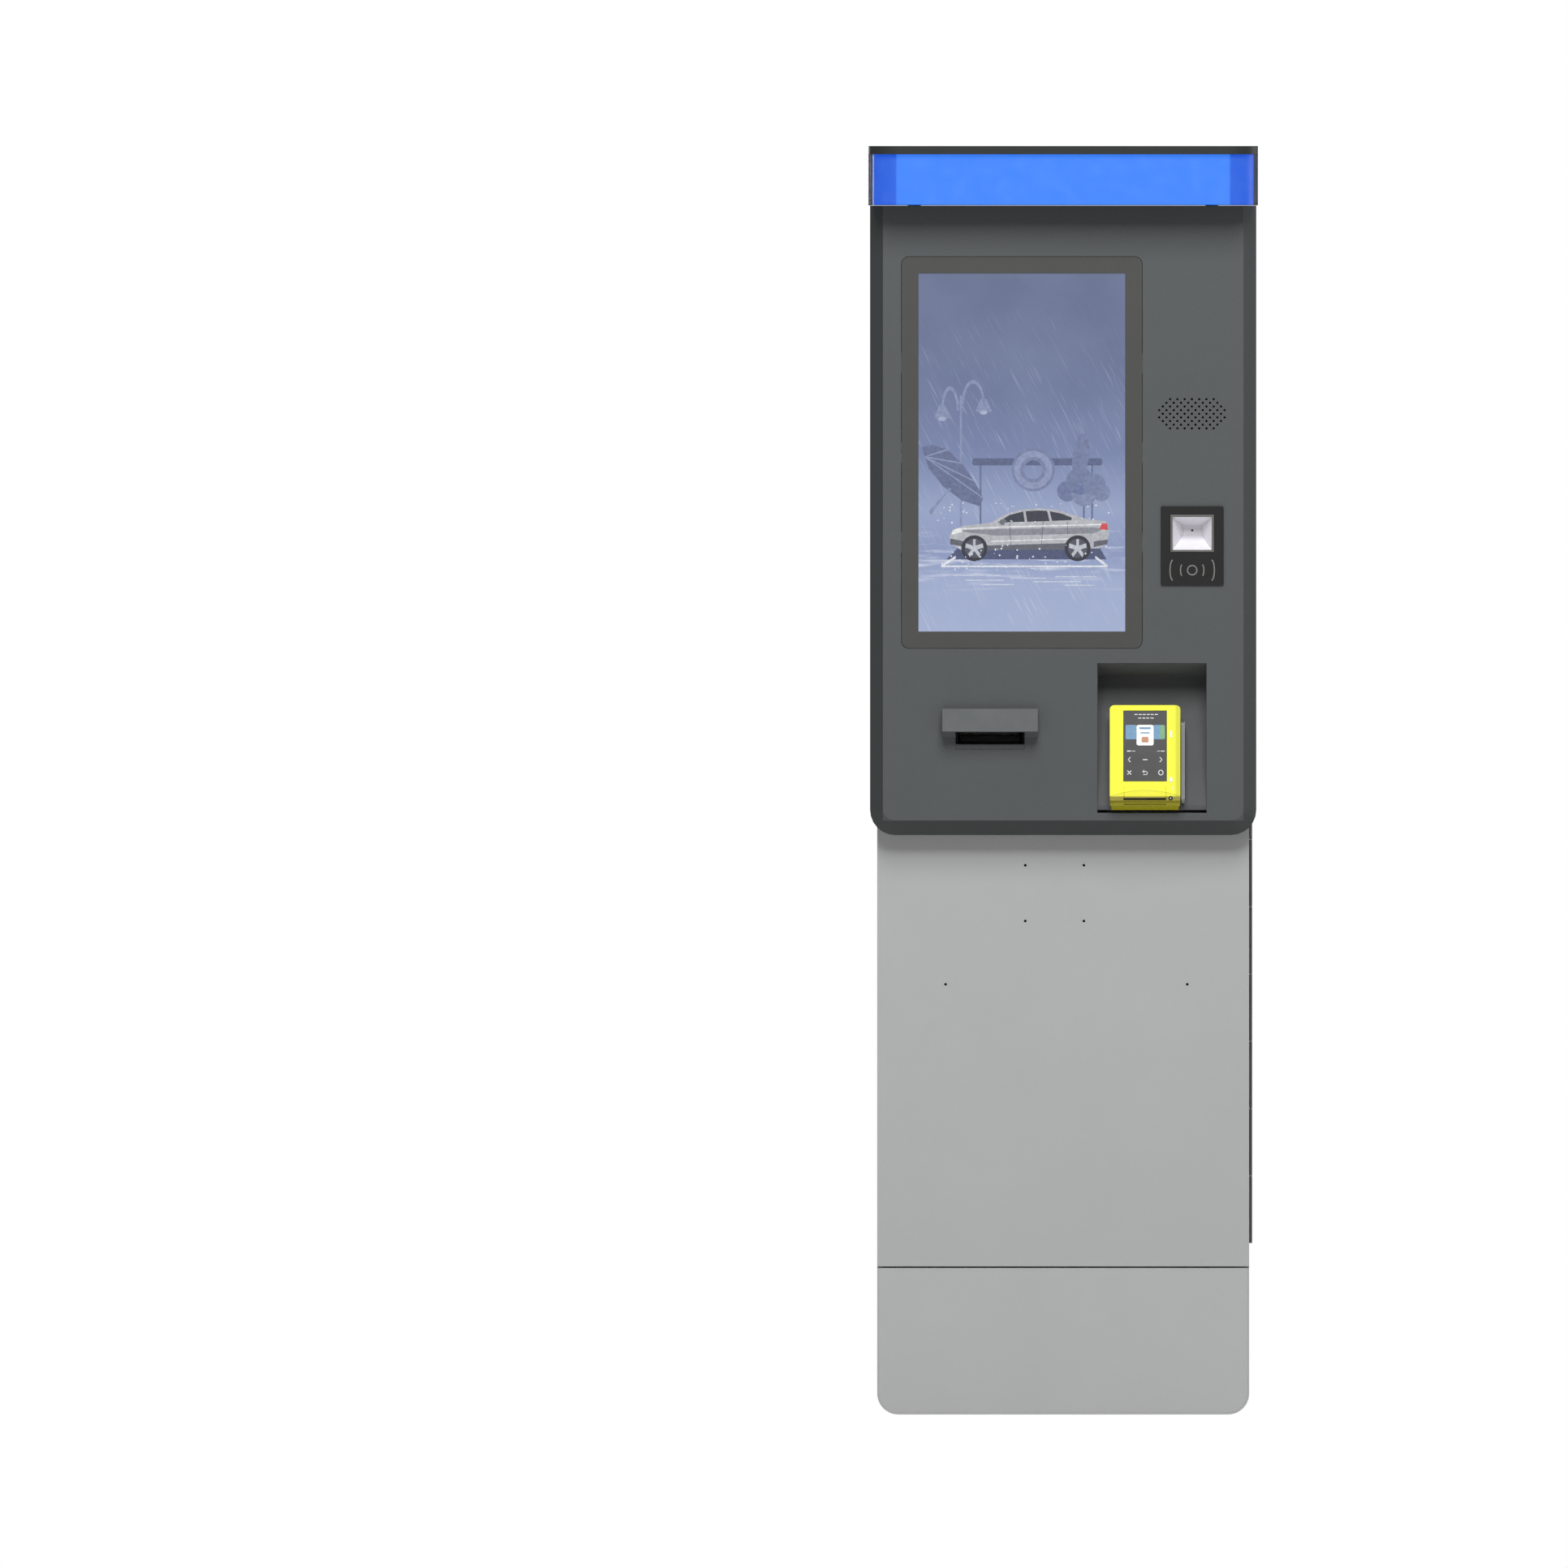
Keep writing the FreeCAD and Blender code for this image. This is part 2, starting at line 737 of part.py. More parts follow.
def above_roof_underside(margin):
    """The region over the underside of the roof, seen from the side."""
    return [("-roof_front-tool_margin", f"{roof_under}-{margin}"),
            ("roof_knee_shift-roof_knee", f"{roof_under}-{margin}"),
            ("roof_rear", f"{roof_under_rear}-{margin}"),
            ("roof_rear+tool_margin", f"{roof_under_rear}-{margin}"), ("roof_rear+tool_margin",
                                                                       "roof_top+4*tool_margin"),
            ("-roof_front-tool_margin", "roof_top+4*tool_margin")]


def rounded_front(name, half, edge, end, base, top, radius):
    """A block whose two front upright corners are rounded."""
    body = new_body(name)
    pad(body, f"{name}_block", "XY", [rectangle((f"-{half}", half), (edge, end))], base, top)
    ahead = solve_number(edge) + 1
    fillet(body, f"{name}_corners", radius, lambda e: along(e, "z") and middle(e).y < ahead)
    return body


def canopy_wall(label, half, edge, wall, base, radius):
    """A U-shaped wall with rounded front corners that dies out under the sloping roof."""
    outer = rounded_front(f"{label}_outer", half, edge, "roof_rear", base, "roof_top+tool_margin", radius)
    room = rounded_front(f"{label}_room", f"({half}-{wall})", f"({edge}+{wall})", "roof_rear+1",
                         f"{base}-1", "roof_top+2*tool_margin", f"{radius}-{wall}")
    slope = new_body(f"{label}_slope")
    pad(slope, f"{label}_above", "YZ", [above_roof_underside("roof_clearance")], f"-{half}-tool_margin",
        f"{half}+tool_margin")
    return node(cut(label, outer, room, slope), label)


def canopy():
    body = new_body("canopy_roof")
    profile = [("-roof_front", "roof_top"), ("-roof_front", roof_under),
               ("roof_knee_shift-roof_knee", roof_under),
               ("roof_rear", f"{roof_under_rear}"), ("roof_rear", "roof_rear_top"),
               ("-roof_knee", "roof_top")]
    pad(body, "plate", "YZ", [profile], f"-{roof_half}", roof_half)
    fillet(body, "corners", "roof_corner_radius",
           lambda e: along(e, "z") and middle(e).y < 0)
    node(body, "canopy_roof")
    canopy_wall("canopy_light_band", band_half, band_front, "band_thickness", "canopy_base",
                "roof_corner_radius-band_inset")
    canopy_wall("canopy_clear_cover", roof_half, cover_front, "cover_thickness", "canopy_base+cover_lift",
                "roof_corner_radius")
    gap = "(band_thickness+soffit_gap)"
    soffit_body = rounded_front("canopy_soffit", f"({band_half}-{gap})", f"({band_front}+{gap})",
                                "roof_rear-soffit_setback", "canopy_base", "canopy_base+soffit_thickness",
                                f"roof_corner_radius-band_inset-{gap}")
    bolts = [(x, y, "canopy_bolt_radius+bolt_clearance") for x, y in canopy_bolt_places()]
    pocket(soffit_body, "bolt_holes", "XY", [], "canopy_base-1", "canopy_base+soffit_thickness+1", bolts)
    node(soffit_body, "canopy_soffit")
    lamps = [box(f"led_{i}", (f"{band_front}+led_margin", f"-({band_front})-led_margin"),
                 (f"{band_front}+led_start+{i}*led_pitch",
                  f"{band_front}+led_start+{i}*led_pitch+led_width"),
                 ("canopy_base+soffit_thickness", "canopy_base+soffit_thickness+led_thickness"))
             for i in range(3)]
    node(group("canopy_led_strips", lamps), "canopy_led_strips")
    spacers, bolts = [], []
    for i, (x, y) in enumerate(canopy_bolt_places()):
        ringed = cylinder(f"spacer_{i}", "z", "spacer_radius", x, y, ("cabinet_height", "canopy_base"))
        hole = cylinder(f"spacer_hole_{i}", "z", "canopy_bolt_radius+bolt_clearance", x, y,
                        ("cabinet_height-1", "canopy_base+1"))
        spacers.append(cut(f"spacer_ring_{i}", ringed, hole))
        shank = cylinder(f"bolt_shank_{i}", "z", "canopy_bolt_radius", x, y,
                         ("cabinet_height-sheet-bolt_grip", "canopy_base+soffit_thickness"))
        head = cylinder(f"bolt_head_{i}", "z", "2*canopy_bolt_radius", x, y,
                        ("canopy_base+soffit_thickness", "canopy_base+soffit_thickness+bolt_head_height"))
        nut = cylinder(f"bolt_nut_{i}", "z", "2*canopy_bolt_radius", x, y,
                       ("cabinet_height-sheet-nut_height", "cabinet_height-sheet"))
        bolts.append(fuse(f"bolt_{i}", shank, head, nut))
    node(group("canopy_fixings", spacers + bolts), "canopy_fixings")


def front_door_pan():
    """A folded tray: face, four returns and an inward flange that meets the seal."""
    low = "(plinth_height+front_door_clearance)"
    block = box("pan_block", (f"-{side}", side), (front, front_seam), (low, "cabinet_height"))
    room = box("pan_room", (f"-{inside}", inside), (f"{front}+sheet", f"{front_seam}-sheet"),
               (f"{low}+sheet", "cabinet_height-sheet"))
    back = box("pan_back", (f"flange_width-{side}", f"{side}-flange_width"),
               (f"{front_seam}-sheet-1", f"{front_seam}+1"),
               (f"{low}+flange_width", "cabinet_height-flange_width"))
    window = box("pan_window", centred("0", "head_opening_width"), (f"{front}-1", f"{front}+sheet+1"),
                 ("head_opening_bottom", "head_opening_top"))
    relief = box("pan_relief", (f"-{side}-1", f"{hinge_front_x}+front_knuckle_radius+hinge_cutback/2"),
                 (f"{hinge_front_y}-hinge_cutback", f"{front_seam}+1"),
                 (f"{low}-1", "cabinet_height+1"))
    holes = [cylinder(f"panel_hole_{i}", "y", "panel_hole_radius", x, (f"{front}-1", f"{front}+sheet+1"), z)
             for i, (x, z) in enumerate(panel_hole_places())]
    node(cut("front_door_pan", block, room, back, window, relief, *holes), "front_door_pan")


def panel_hole_places():
    square = [(f"panel_square_centre{a}panel_square_wide/2", f"panel_square_height{b}panel_square_tall/2")
              for a in "+-" for b in "+-"]
    pair = [(f"panel_pair_centre{a}panel_pair_wide/2", "panel_pair_height") for a in "+-"]
    return square + pair


def lofted(name, plane, profiles):
    """A ruled loft through outlines at different places along the plane's axis."""
    body = new_body(name)
    items = []
    for i, (place, points) in enumerate(profiles):
        item = sketch(body, f"{name}_section_{i}", plane, place)
        outline(item, points)
        items.append(item)
    feature = body.newObject("PartDesign::AdditiveLoft", f"{name}_loft")
    feature.Profile = items[0]
    feature.Sections = items[1:]
    feature.Ruled = True
    doc.recompute()
    return body


def round_bottomed(x, z, radius):
    """A rectangle whose two lower corners are rounded by short straight steps."""
    steps = range(0, 91, 15)
    left = [(f"{x[0]}+({radius})*(1-cos({a}))", f"{z[0]}+({radius})*(1-sin({a}))") for a in steps]
    right = [(f"{x[1]}-({radius})*(1-cos({a}))", f"{z[0]}+({radius})*(1-sin({a}))")
             for a in reversed(steps)]
    return left + right + [(x[1], z[1]), (x[0], z[1])]


def head_section(inset, bottom, top, radius):
    return round_bottomed((f"{inset}-head_width/2", f"head_width/2-{inset}"), (bottom, top), radius)


def head_panel():
    """Bevelled hood over the upper door, open at the back, with openings for what it carries."""
    front_outline = head_section("head_bevel", "head_bottom+head_bevel_bottom", "head_top",
                                 "head_face_radius")
    edge_outline = head_section("0", "head_bottom", "head_top", "head_corner_radius")
    nose = lofted("head_nose", "XZ", [(f"{face}+head_bevel_depth", edge_outline), (face, front_outline)])
    skirt = new_body("head_skirt")
    pad(skirt, "skirt", "XZ", [edge_outline], f"{face}+head_bevel_depth", front)
    inner_edge = head_section("head_wall", "head_bottom+head_wall", "head_top-head_wall",
                              "head_corner_radius-head_wall/2")
    inner_front = head_section("head_bevel+head_wall/2", "head_bottom+head_bevel_bottom+head_wall/2",
                               "head_top-head_wall", "head_face_radius-head_wall/2")
    room = lofted("head_room", "XZ", [(f"{face}+head_bevel_depth", inner_edge),
                                      (f"{face}+head_wall", inner_front)])
    throat = new_body("head_throat")
    pad(throat, "throat", "XZ", [inner_edge], f"{face}+head_bevel_depth", f"{front}+1")
    shell = cut("head_shell", fuse("head_outer", nose, skirt), room, throat)
    through = (f"{face}-1", f"{face}+head_wall+1")
    gap = "display_gap"
    glass_hole = rounded_plate("head_display_hole", centred("display_centre", f"display_width+2*{gap}"),
                               through, (f"display_bottom-{gap}", f"display_bottom+display_height+{gap}"),
                               f"display_radius+{gap}")
    scanner = box("head_scanner_hole", centred("scanner_centre", "scanner_body_width+1"), through,
                  centred("scanner_height", "scanner_body_tall+1"))
    slot = box("head_slot_hole", centred("hood_centre", "slot_width"), through,
               ("slot_bottom", "slot_top"))
    niche = box("head_niche_hole", centred("niche_centre", "niche_width+2*niche_gap"), through,
                ("niche_bottom-niche_gap", f"niche_bottom+{niche_rise}+niche_gap"))
    sound = [cylinder(f"sound_hole_{i}", "y", "speaker_hole_radius", x, through, z)
             for i, (x, z) in enumerate(sound_hole_places())]
    holes = group("sound_holes", sound)
    node(cut("head_panel", shell, glass_hole, scanner, slot, niche, holes), "head_panel")


niche_rise = "(niche_depth/tan(niche_tilt)+niche_depth*tan(niche_tilt))"


def sound_hole_places():
    counts = (7, 8, 9, 10, 9, 10, 9, 8, 7)
    return [(f"speaker_centre+{place - (count - 1) / 2}*speaker_pitch",
             f"speaker_height+{4 - row}*speaker_row_pitch")
            for row, count in enumerate(counts) for place in range(count)]


def rounded_plate(name, x, y, z, radius):
    """A plate that faces along Y, with its four corners rounded."""
    body = new_body(name)
    pad(body, f"{name}_plate", "XZ", [rectangle(x, z)], *y)
    fillet(body, f"{name}_corners", radius, lambda e: along(e, "y"))
    return body


def display():
    gap = "pane_gap"
    glass = f"{face}+display_thickness"
    window_x = centred("display_centre", "window_width")
    window_z = ("window_bottom", "window_bottom+window_height")
    bezel = rounded_plate("bezel_plate", centred("display_centre", "display_width"), (face, glass),
                          ("display_bottom", "display_bottom+display_height"), "display_radius")
    hole = box("bezel_window", window_x, (f"{face}-1", f"{glass}+1"), window_z)
    node(cut("display_bezel", bezel, hole), "display_bezel")
    node(box("pane", (f"{window_x[0]}+{gap}", f"{window_x[1]}-{gap}"), (f"{face}+pane_setback", glass),
             (f"{window_z[0]}+{gap}", f"{window_z[1]}-{gap}")), "display_glass")
    panel_x = (f"{window_x[0]}-panel_overlap", f"{window_x[1]}+panel_overlap")
    panel_z = (f"{window_z[0]}-panel_overlap", f"{window_z[1]}+panel_overlap")
    node(box("panel", panel_x, (glass, f"{glass}+panel_thickness"), panel_z), "display_panel")
    node(box("housing", (f"{panel_x[0]}+housing_inset_side", f"{panel_x[1]}-housing_inset_side"),
             (f"{glass}+panel_thickness", f"{glass}+panel_thickness+housing_depth"),
             (f"{panel_z[0]}+housing_inset_end", f"{panel_z[1]}-housing_inset_end")), "display_electronics")
    reach = "(window_width/2+panel_overlap+clamp_offset)"
    ears = [box(f"display_clamp_{a}_{i}", centred(f"display_centre{a}{reach}", "clamp_width"),
                (glass, f"{glass}+clamp_thickness"), centred(f"window_bottom+window_height*{i}/4",
                                                             "clamp_height"))
            for a in "+-" for i in (1, 2, 3)]
    node(group("display_clamps", ears), "display_clamps")


def speaker():
    """Loudspeaker basket and cone turned about its own axis, and its magnet."""
    body = new_body("speaker")
    item = sketch(body, "speaker_profile", "YZ", "speaker_centre")
    start = f"{face}+head_wall"
    magnet = f"{start}+speaker_depth-magnet_depth"
    points = [(start, "speaker_height+speaker_radius-speaker_rim"),
              (start, "speaker_height+speaker_radius"),
              (f"{start}+speaker_flange", "speaker_height+speaker_radius"),
              (magnet, "speaker_height+basket_end_radius"), (magnet, "speaker_height+magnet_radius"),
              (f"{start}+speaker_depth", "speaker_height+magnet_radius"),
              (f"{start}+speaker_depth", "speaker_height"), (f"{start}+cone_depth", "speaker_height"),
              (f"{start}+cone_depth+cap_depth", "speaker_height+cap_radius")]
    outline(item, points)
    level = solve_number("speaker_height")
    ends = [FreeCAD.Vector(solve_number(place), level, 0) for place in (face, f"{face}+speaker_depth")]
    axis = item.addGeometry(Part.LineSegment(*ends), True)
    item.addConstraint(Sketcher.Constraint("Horizontal", axis))
    pin_point(item, axis, 1, face, "speaker_height")
    feature = body.newObject("PartDesign::Revolution", "turned")
    feature.Profile = item
    feature.ReferenceAxis = (item, ["Axis0"])
    feature.Angle = 360
    doc.recompute()
    node(body, "speaker")


def scanner():
    """Code reader: bezel that stands on the panel, window frame, tapered reflector and camera."""
    plate = rounded_plate("scanner_plate", centred("scanner_centre", "scanner_width"),
                          (f"{face}-scanner_projection", face), centred("scanner_height", "scanner_tall"),
                          "scanner_corner_radius")
    trunk = box("scanner_trunk", centred("scanner_centre", "scanner_body_width"),
                (face, f"{face}+scanner_depth"), centred("scanner_height", "scanner_body_tall"))
    room_x = centred("scanner_centre", "scanner_window_width+2*scanner_rim")
    room_z = centred("scanner_window_height", "scanner_window_tall+2*scanner_rim")
    room = box("scanner_room", room_x, (f"{face}-scanner_projection-1",
                                        f"{face}+scanner_depth-scanner_back_wall"), room_z)
    node(cut("scanner_body", fuse("scanner_outer", plate, trunk), room), "scanner_body")
    frame = box("scanner_frame_plate", (f"{room_x[0]}+scanner_gap", f"{room_x[1]}-scanner_gap"),
                (f"{face}-scanner_projection-scanner_frame_projection",
                 f"{face}-scanner_projection+scanner_frame_seat"),
                (f"{room_z[0]}+scanner_gap", f"{room_z[1]}-scanner_gap"))
    hole = box("scanner_frame_hole", centred("scanner_centre", "scanner_window_width"),
               (f"{face}-scanner_projection-5", f"{face}+5"),
               centred("scanner_window_height", "scanner_window_tall"))
    node(cut("scanner_window_frame", frame, hole), "scanner_window_frame")
    mouth = f"{face}-scanner_projection+scanner_frame_seat+scanner_gap"
    end = f"{face}+scanner_depth-reflector_setback"
    wide = rectangle(centred("scanner_centre", "scanner_window_width+2*reflector_wall"),
                     centred("scanner_window_height", "scanner_window_tall+2*reflector_wall"))
    small = rectangle(centred("scanner_centre", "scanner_back_width+2*reflector_wall"),
                      centred("scanner_window_height+scanner_back_lift",
                              "scanner_back_tall+2*reflector_wall"))
    outer = lofted("reflector_outer", "XZ", [(end, small), (mouth, wide)])
    wide_in = rectangle(centred("scanner_centre", "scanner_window_width"),
                        centred("scanner_window_height", "scanner_window_tall"))
    small_in = rectangle(centred("scanner_centre", "scanner_back_width"),
                         centred("scanner_window_height+scanner_back_lift", "scanner_back_tall"))
    inner = lofted("reflector_inner", "XZ", [(f"{end}-reflector_wall", small_in),
                                             (f"{mouth}-0.01", wide_in)])
    node(cut("scanner_reflector", outer, inner), "scanner_reflector")
    node(cylinder("scanner_lens", "y", "scanner_lens_radius", "scanner_centre",
                  (end, f"{end}+scanner_lens_length"), "scanner_window_height+scanner_back_lift"), "scanner_camera")


def receipt_hood():
    """A hood over the receipt slot: thick cheeks and a thin front, open below."""
    outer = new_body("hood_outer")
    profile = [(face, "hood_top"), (f"{face}-hood_top_projection", "hood_top"),
               (f"{face}-hood_projection", "hood_front_bottom"), (face, "hood_bottom")]
    pad(outer, "hood_block", "YZ", [profile], "hood_centre-hood_width/2", "hood_centre+hood_width/2")
    room = new_body("hood_room")
    inner = [(f"{face}+1", "hood_top-hood_wall"), (f"{face}-hood_top_projection+hood_wall",
                                                   "hood_top-hood_wall"),
             (f"{face}-hood_projection+hood_wall", "hood_front_bottom"),
             (f"{face}-hood_projection+hood_wall", "hood_bottom-1"), (f"{face}+1", "hood_bottom-1")]
    pad(room, "hood_hollow", "YZ", [inner], "hood_centre-slot_width/2", "hood_centre+slot_width/2")
    node(cut("receipt_hood", outer, room), "receipt_hood")


roll_y = f"({front}+roll_setback)"
roll_z = "(slot_top-roll_drop)"
platen_y = f"({face}+platen_setback)"
platen_z = "(slot_bottom+platen_lift)"


def printer():
    """Printer behind the slot: side plates, roll on a spindle, platen and its motor."""
    half = "(paper_width/2+printer_gap)"
    plates = []
    for name, sign in (("left", "-"), ("right", "+")):
        low = f"hood_centre{sign}{half}" + ("-printer_plate" if sign == "-" else "")
        plate = box(f"printer_{name}", (low, f"{low}+printer_plate"),
                    (f"{face}+head_wall", f"{roll_y}+arm_beyond_roll"),
                    (f"{roll_z}-arm_below_roll", f"{roll_z}+arm_above_roll"))
        plates.append(plate)
    floor = box("printer_floor", (f"hood_centre-{half}", f"hood_centre+{half}"),
                (f"{face}+head_wall+printer_plate", f"{roll_y}+arm_beyond_roll"),
                (f"{roll_z}-printer_foot_drop", f"{roll_z}-printer_foot_drop+printer_plate"))
    spindle = cylinder("roll_spindle", "x", "roll_core_radius-pin_clearance",
                       (f"hood_centre-{half}", f"hood_centre+{half}"), roll_y, roll_z)
    drops = [box(f"printer_drop_{sign}", (f"hood_centre{sign}{half}-{back}*printer_plate",
                                          f"hood_centre{sign}{half}+(1-{back})*printer_plate"),
                 (f"{face}+head_wall+printer_plate", f"{face}+head_wall+printer_foot_depth"),
                 (f"{roll_z}-printer_foot_drop", f"{roll_z}-arm_below_roll"))
             for sign, back in (("-", 1), ("+", 0))]
    whole = fuse("printer_frame_whole", *plates, floor, spindle, *drops)
    platen_hole = cylinder("platen_hole", "x", "platen_pin_radius+pin_clearance",
                           ("hood_centre-paper_width", "hood_centre+paper_width"), platen_y, platen_z)
    motor_z = f"({platen_z}-gear_module*(platen_teeth+pinion_teeth)/2-gear_play)"
    motor_hole = cylinder("motor_seat", "x", "motor_shaft_radius+1",
                          ("hood_centre+1", "hood_centre+paper_width"), platen_y, motor_z)
    node(cut("printer_frame", whole, platen_hole, motor_hole), "printer_frame")
    platen = cylinder("platen_roller_body", "x", "platen_radius",
                      centred("hood_centre", "paper_width"), platen_y, platen_z)
    shaft = cylinder("platen_shaft", "x", "platen_pin_radius",
                     (f"hood_centre-{half}-shaft_left", f"hood_centre+{half}+shaft_right"), platen_y, platen_z)
    node(group("platen", [fuse("platen_body", platen, shaft), platen_gear()]), "platen_roller")


def gear(name, x, y, z, teeth, pitch_radius, bore, turn):
    """A small straight-toothed wheel whose axis runs along X."""
    body = new_body(name)
    item = sketch(body, f"{name}_outline", "YZ", x[0])
    steps = []
    for tooth in range(teeth):
        for share, radius in ((-0.28, -0.9), (-0.12, 0.8), (0.12, 0.8), (0.28, -0.9)):
            angle = 360 * (tooth + share) / teeth + turn
            reach = f"({pitch_radius}+({radius})*gear_module)"
            steps.append((f"{y}+{reach}*cos({angle:.4f})", f"{z}+{reach}*sin({angle:.4f})"))
    outline(item, steps)
    circle(item, y, z, bore)
    feature = body.newObject("PartDesign::Pad", f"{name}_pad")
    feature.Profile = item
    bind(feature, "Length", f"({x[1]})-({x[0]})")
    doc.recompute()
    return body


gear_x = ("hood_centre+paper_width/2+gear_offset",
          "hood_centre+paper_width/2+gear_offset+gear_width")
platen_gear_radius = "(gear_module*platen_teeth/2)"


def platen_gear():
    return gear("platen_gear", gear_x, platen_y, platen_z, sizes["platen_teeth"], platen_gear_radius,
                "platen_pin_radius", -90)


def printer_drive():
    """Stepping motor whose pinion turns the platen gear."""
    pinion_radius = "(gear_module*pinion_teeth/2)"
    motor_z = f"({platen_z}-{platen_gear_radius}-{pinion_radius}-gear_play)"
    pinion = gear("pinion", gear_x, platen_y, motor_z, sizes["pinion_teeth"], pinion_radius,
                  "motor_shaft_radius", 90 + 180 / sizes["pinion_teeth"])
    spindle = cylinder("motor_spindle", "x", "motor_shaft_radius",
                       ("hood_centre+paper_width/2+1", f"{gear_x[1]}+2"), platen_y, motor_z)
    node(fuse("motor_pinion", pinion, spindle), "motor_pinion")
    can = cylinder("motor_can", "x", "motor_radius",
                   ("hood_centre+paper_width/2-motor_inner",
                    "hood_centre+paper_width/2+motor_outer"), platen_y, motor_z)
    bore = cylinder("motor_bore", "x", "motor_shaft_radius+pin_clearance",
                    ("hood_centre+paper_width/2-10", "hood_centre+paper_width/2+5"), platen_y, motor_z)
    node(cut("printer_motor", can, bore), "printer_motor")


def paper_roll():
    """Roll on a spindle that stands between two cradle arms."""
    roll = cylinder("roll_outer", "x", "roll_radius", centred("hood_centre", "paper_width"), roll_y, roll_z)
    core = cylinder("roll_core", "x", "roll_core_radius",
                    centred("hood_centre", "paper_width+2"), roll_y, roll_z)
    node(cut("paper_roll", roll, core), "paper_roll")


def card_niche():
    """Recess with a sloping back wall and a ceiling square to it."""
    def prism(name, width, wall, ahead):
        body = new_body(name)
        start = f"{face}+({ahead})"
        reach = f"(niche_depth+({wall})*(sin(niche_tilt)+cos(niche_tilt)))"
        sill = f"(niche_bottom-({wall})/sin(niche_tilt))"
        points = [(start, f"{sill}+({ahead})/tan(niche_tilt)"),
                  (f"{face}+{reach}", f"{sill}+{reach}/tan(niche_tilt)"),
                  (start, f"niche_bottom+{niche_rise}+({wall})/cos(niche_tilt)-({ahead})*tan(niche_tilt)")]
        pad(body, f"{name}_wedge", "YZ", [points], f"niche_centre-({width})/2", f"niche_centre+({width})/2")
        return body
    outer = prism("niche_outer", "niche_width+2*niche_wall", "niche_wall", "head_wall+niche_setback")
    inner = prism("niche_inner", "niche_width", "0", "-1")
    node(cut("terminal_niche", outer, inner), "terminal_niche")


def lean(item):
    """Places a terminal piece, drawn face down the slope from its own origin, in the recess."""
    item.Placement = FreeCAD.Placement(FreeCAD.Vector(), FreeCAD.Rotation(FreeCAD.Vector(1, 0, 0), -10))
    bind(item, "Placement.Rotation.Angle", "-niche_tilt")
    bind(item, "Placement.Base.x", "terminal_centre")
    bind(item, "Placement.Base.y", f"{face}-terminal_projection")
    bind(item, "Placement.Base.z", "niche_bottom+terminal_lift")
    return item


def terminal_slab(name, near, far, low, inset):
    """One layer of the terminal between two depths behind its face, bevelled along its low edge."""
    body = new_body(name)
    half = f"(terminal_width/2-{inset})"
    foot = f"terminal_skirt*({near})/terminal_chamfer"
    profile = [(near, f"terminal_length-{inset}"), (near, f"{low}-{foot}"),
               (far, f"{low}-min(terminal_skirt;terminal_skirt*({far})/terminal_chamfer)"),
               (far, f"terminal_length-{inset}")]
    pad(body, f"{name}_layer", "YZ", [profile], f"-{half}", half)
    fillet(body, f"{name}_corners", f"terminal_corner_radius-{inset}", lambda e: along(e, "y"))
    return body


def card_terminal():
    shell = terminal_slab("terminal_shell", "0", "terminal_front_thickness", "low_edge_step", "0")
    screen_x = centred("0", "terminal_screen_width")
    screen_z = ("terminal_screen_start", "terminal_screen_start+terminal_screen_length")
    window = box("shell_window", screen_x, ("-1", "terminal_front_thickness+1"), screen_z)
    lip_hole = box("shell_lip_hole", centred("0", "terminal_screen_width-2*lip_inset"), ("-1", "lip_depth"),
                   ("lip_start", "terminal_screen_start-lip_below_screen"))
    node(lean(cut("terminal_front", shell, window, lip_hole)), "terminal_front")
    lip = box("lip_block", centred("0", "terminal_screen_width-2*lip_inset-2*lip_gap"),
              ("-lip_rise", "lip_depth"),
              ("lip_start+lip_gap", "terminal_screen_start-lip_below_screen-lip_gap"))
    node(lean(group("terminal_lip", [lip])), "terminal_lip")
    screen = box("screen_block", (f"{screen_x[0]}+screen_gap", f"{screen_x[1]}-screen_gap"),
                 ("screen_setback", "terminal_front_thickness"),
                 (f"{screen_z[0]}+screen_gap", f"{screen_z[1]}-screen_gap"))
    node(lean(group("terminal_screen", [screen])), "terminal_screen")
    near, far = "terminal_front_thickness", "(terminal_front_thickness+terminal_case_thickness)"
    case = terminal_slab("terminal_middle", near, far, "0", "case_growth")
    slot = box("card_slot", centred("0", "card_slot_width"), centred(f"{near}+slot_place", "slot_height"),
               ("-terminal_skirt-1", "slot_reach"))
    node(lean(cut("terminal_case", case, slot)), "terminal_case")
    back = terminal_slab("terminal_rear", far, f"({far}+terminal_back_thickness)", "0", "back_inset")
    node(lean(group("terminal_back", [back])), "terminal_back")
    rail = box("rail_channel", ("terminal_width/2+rail_gap", "terminal_width/2+rail_gap+rail_width"),
               (f"{near}+rail_wall", f"{far}+terminal_back_thickness"), ("rail_start",
                                                                         "rail_start+rail_length"))
    groove = box("rail_groove", ("terminal_width/2+rail_gap+rail_wall",
                                 "terminal_width/2+rail_gap+rail_width-rail_wall"),
                 (near, f"{near}+rail_groove_depth"), ("rail_start-1", "rail_start+rail_length+1"))
    node(lean(cut("terminal_rail", rail, groove)), "terminal_rail")


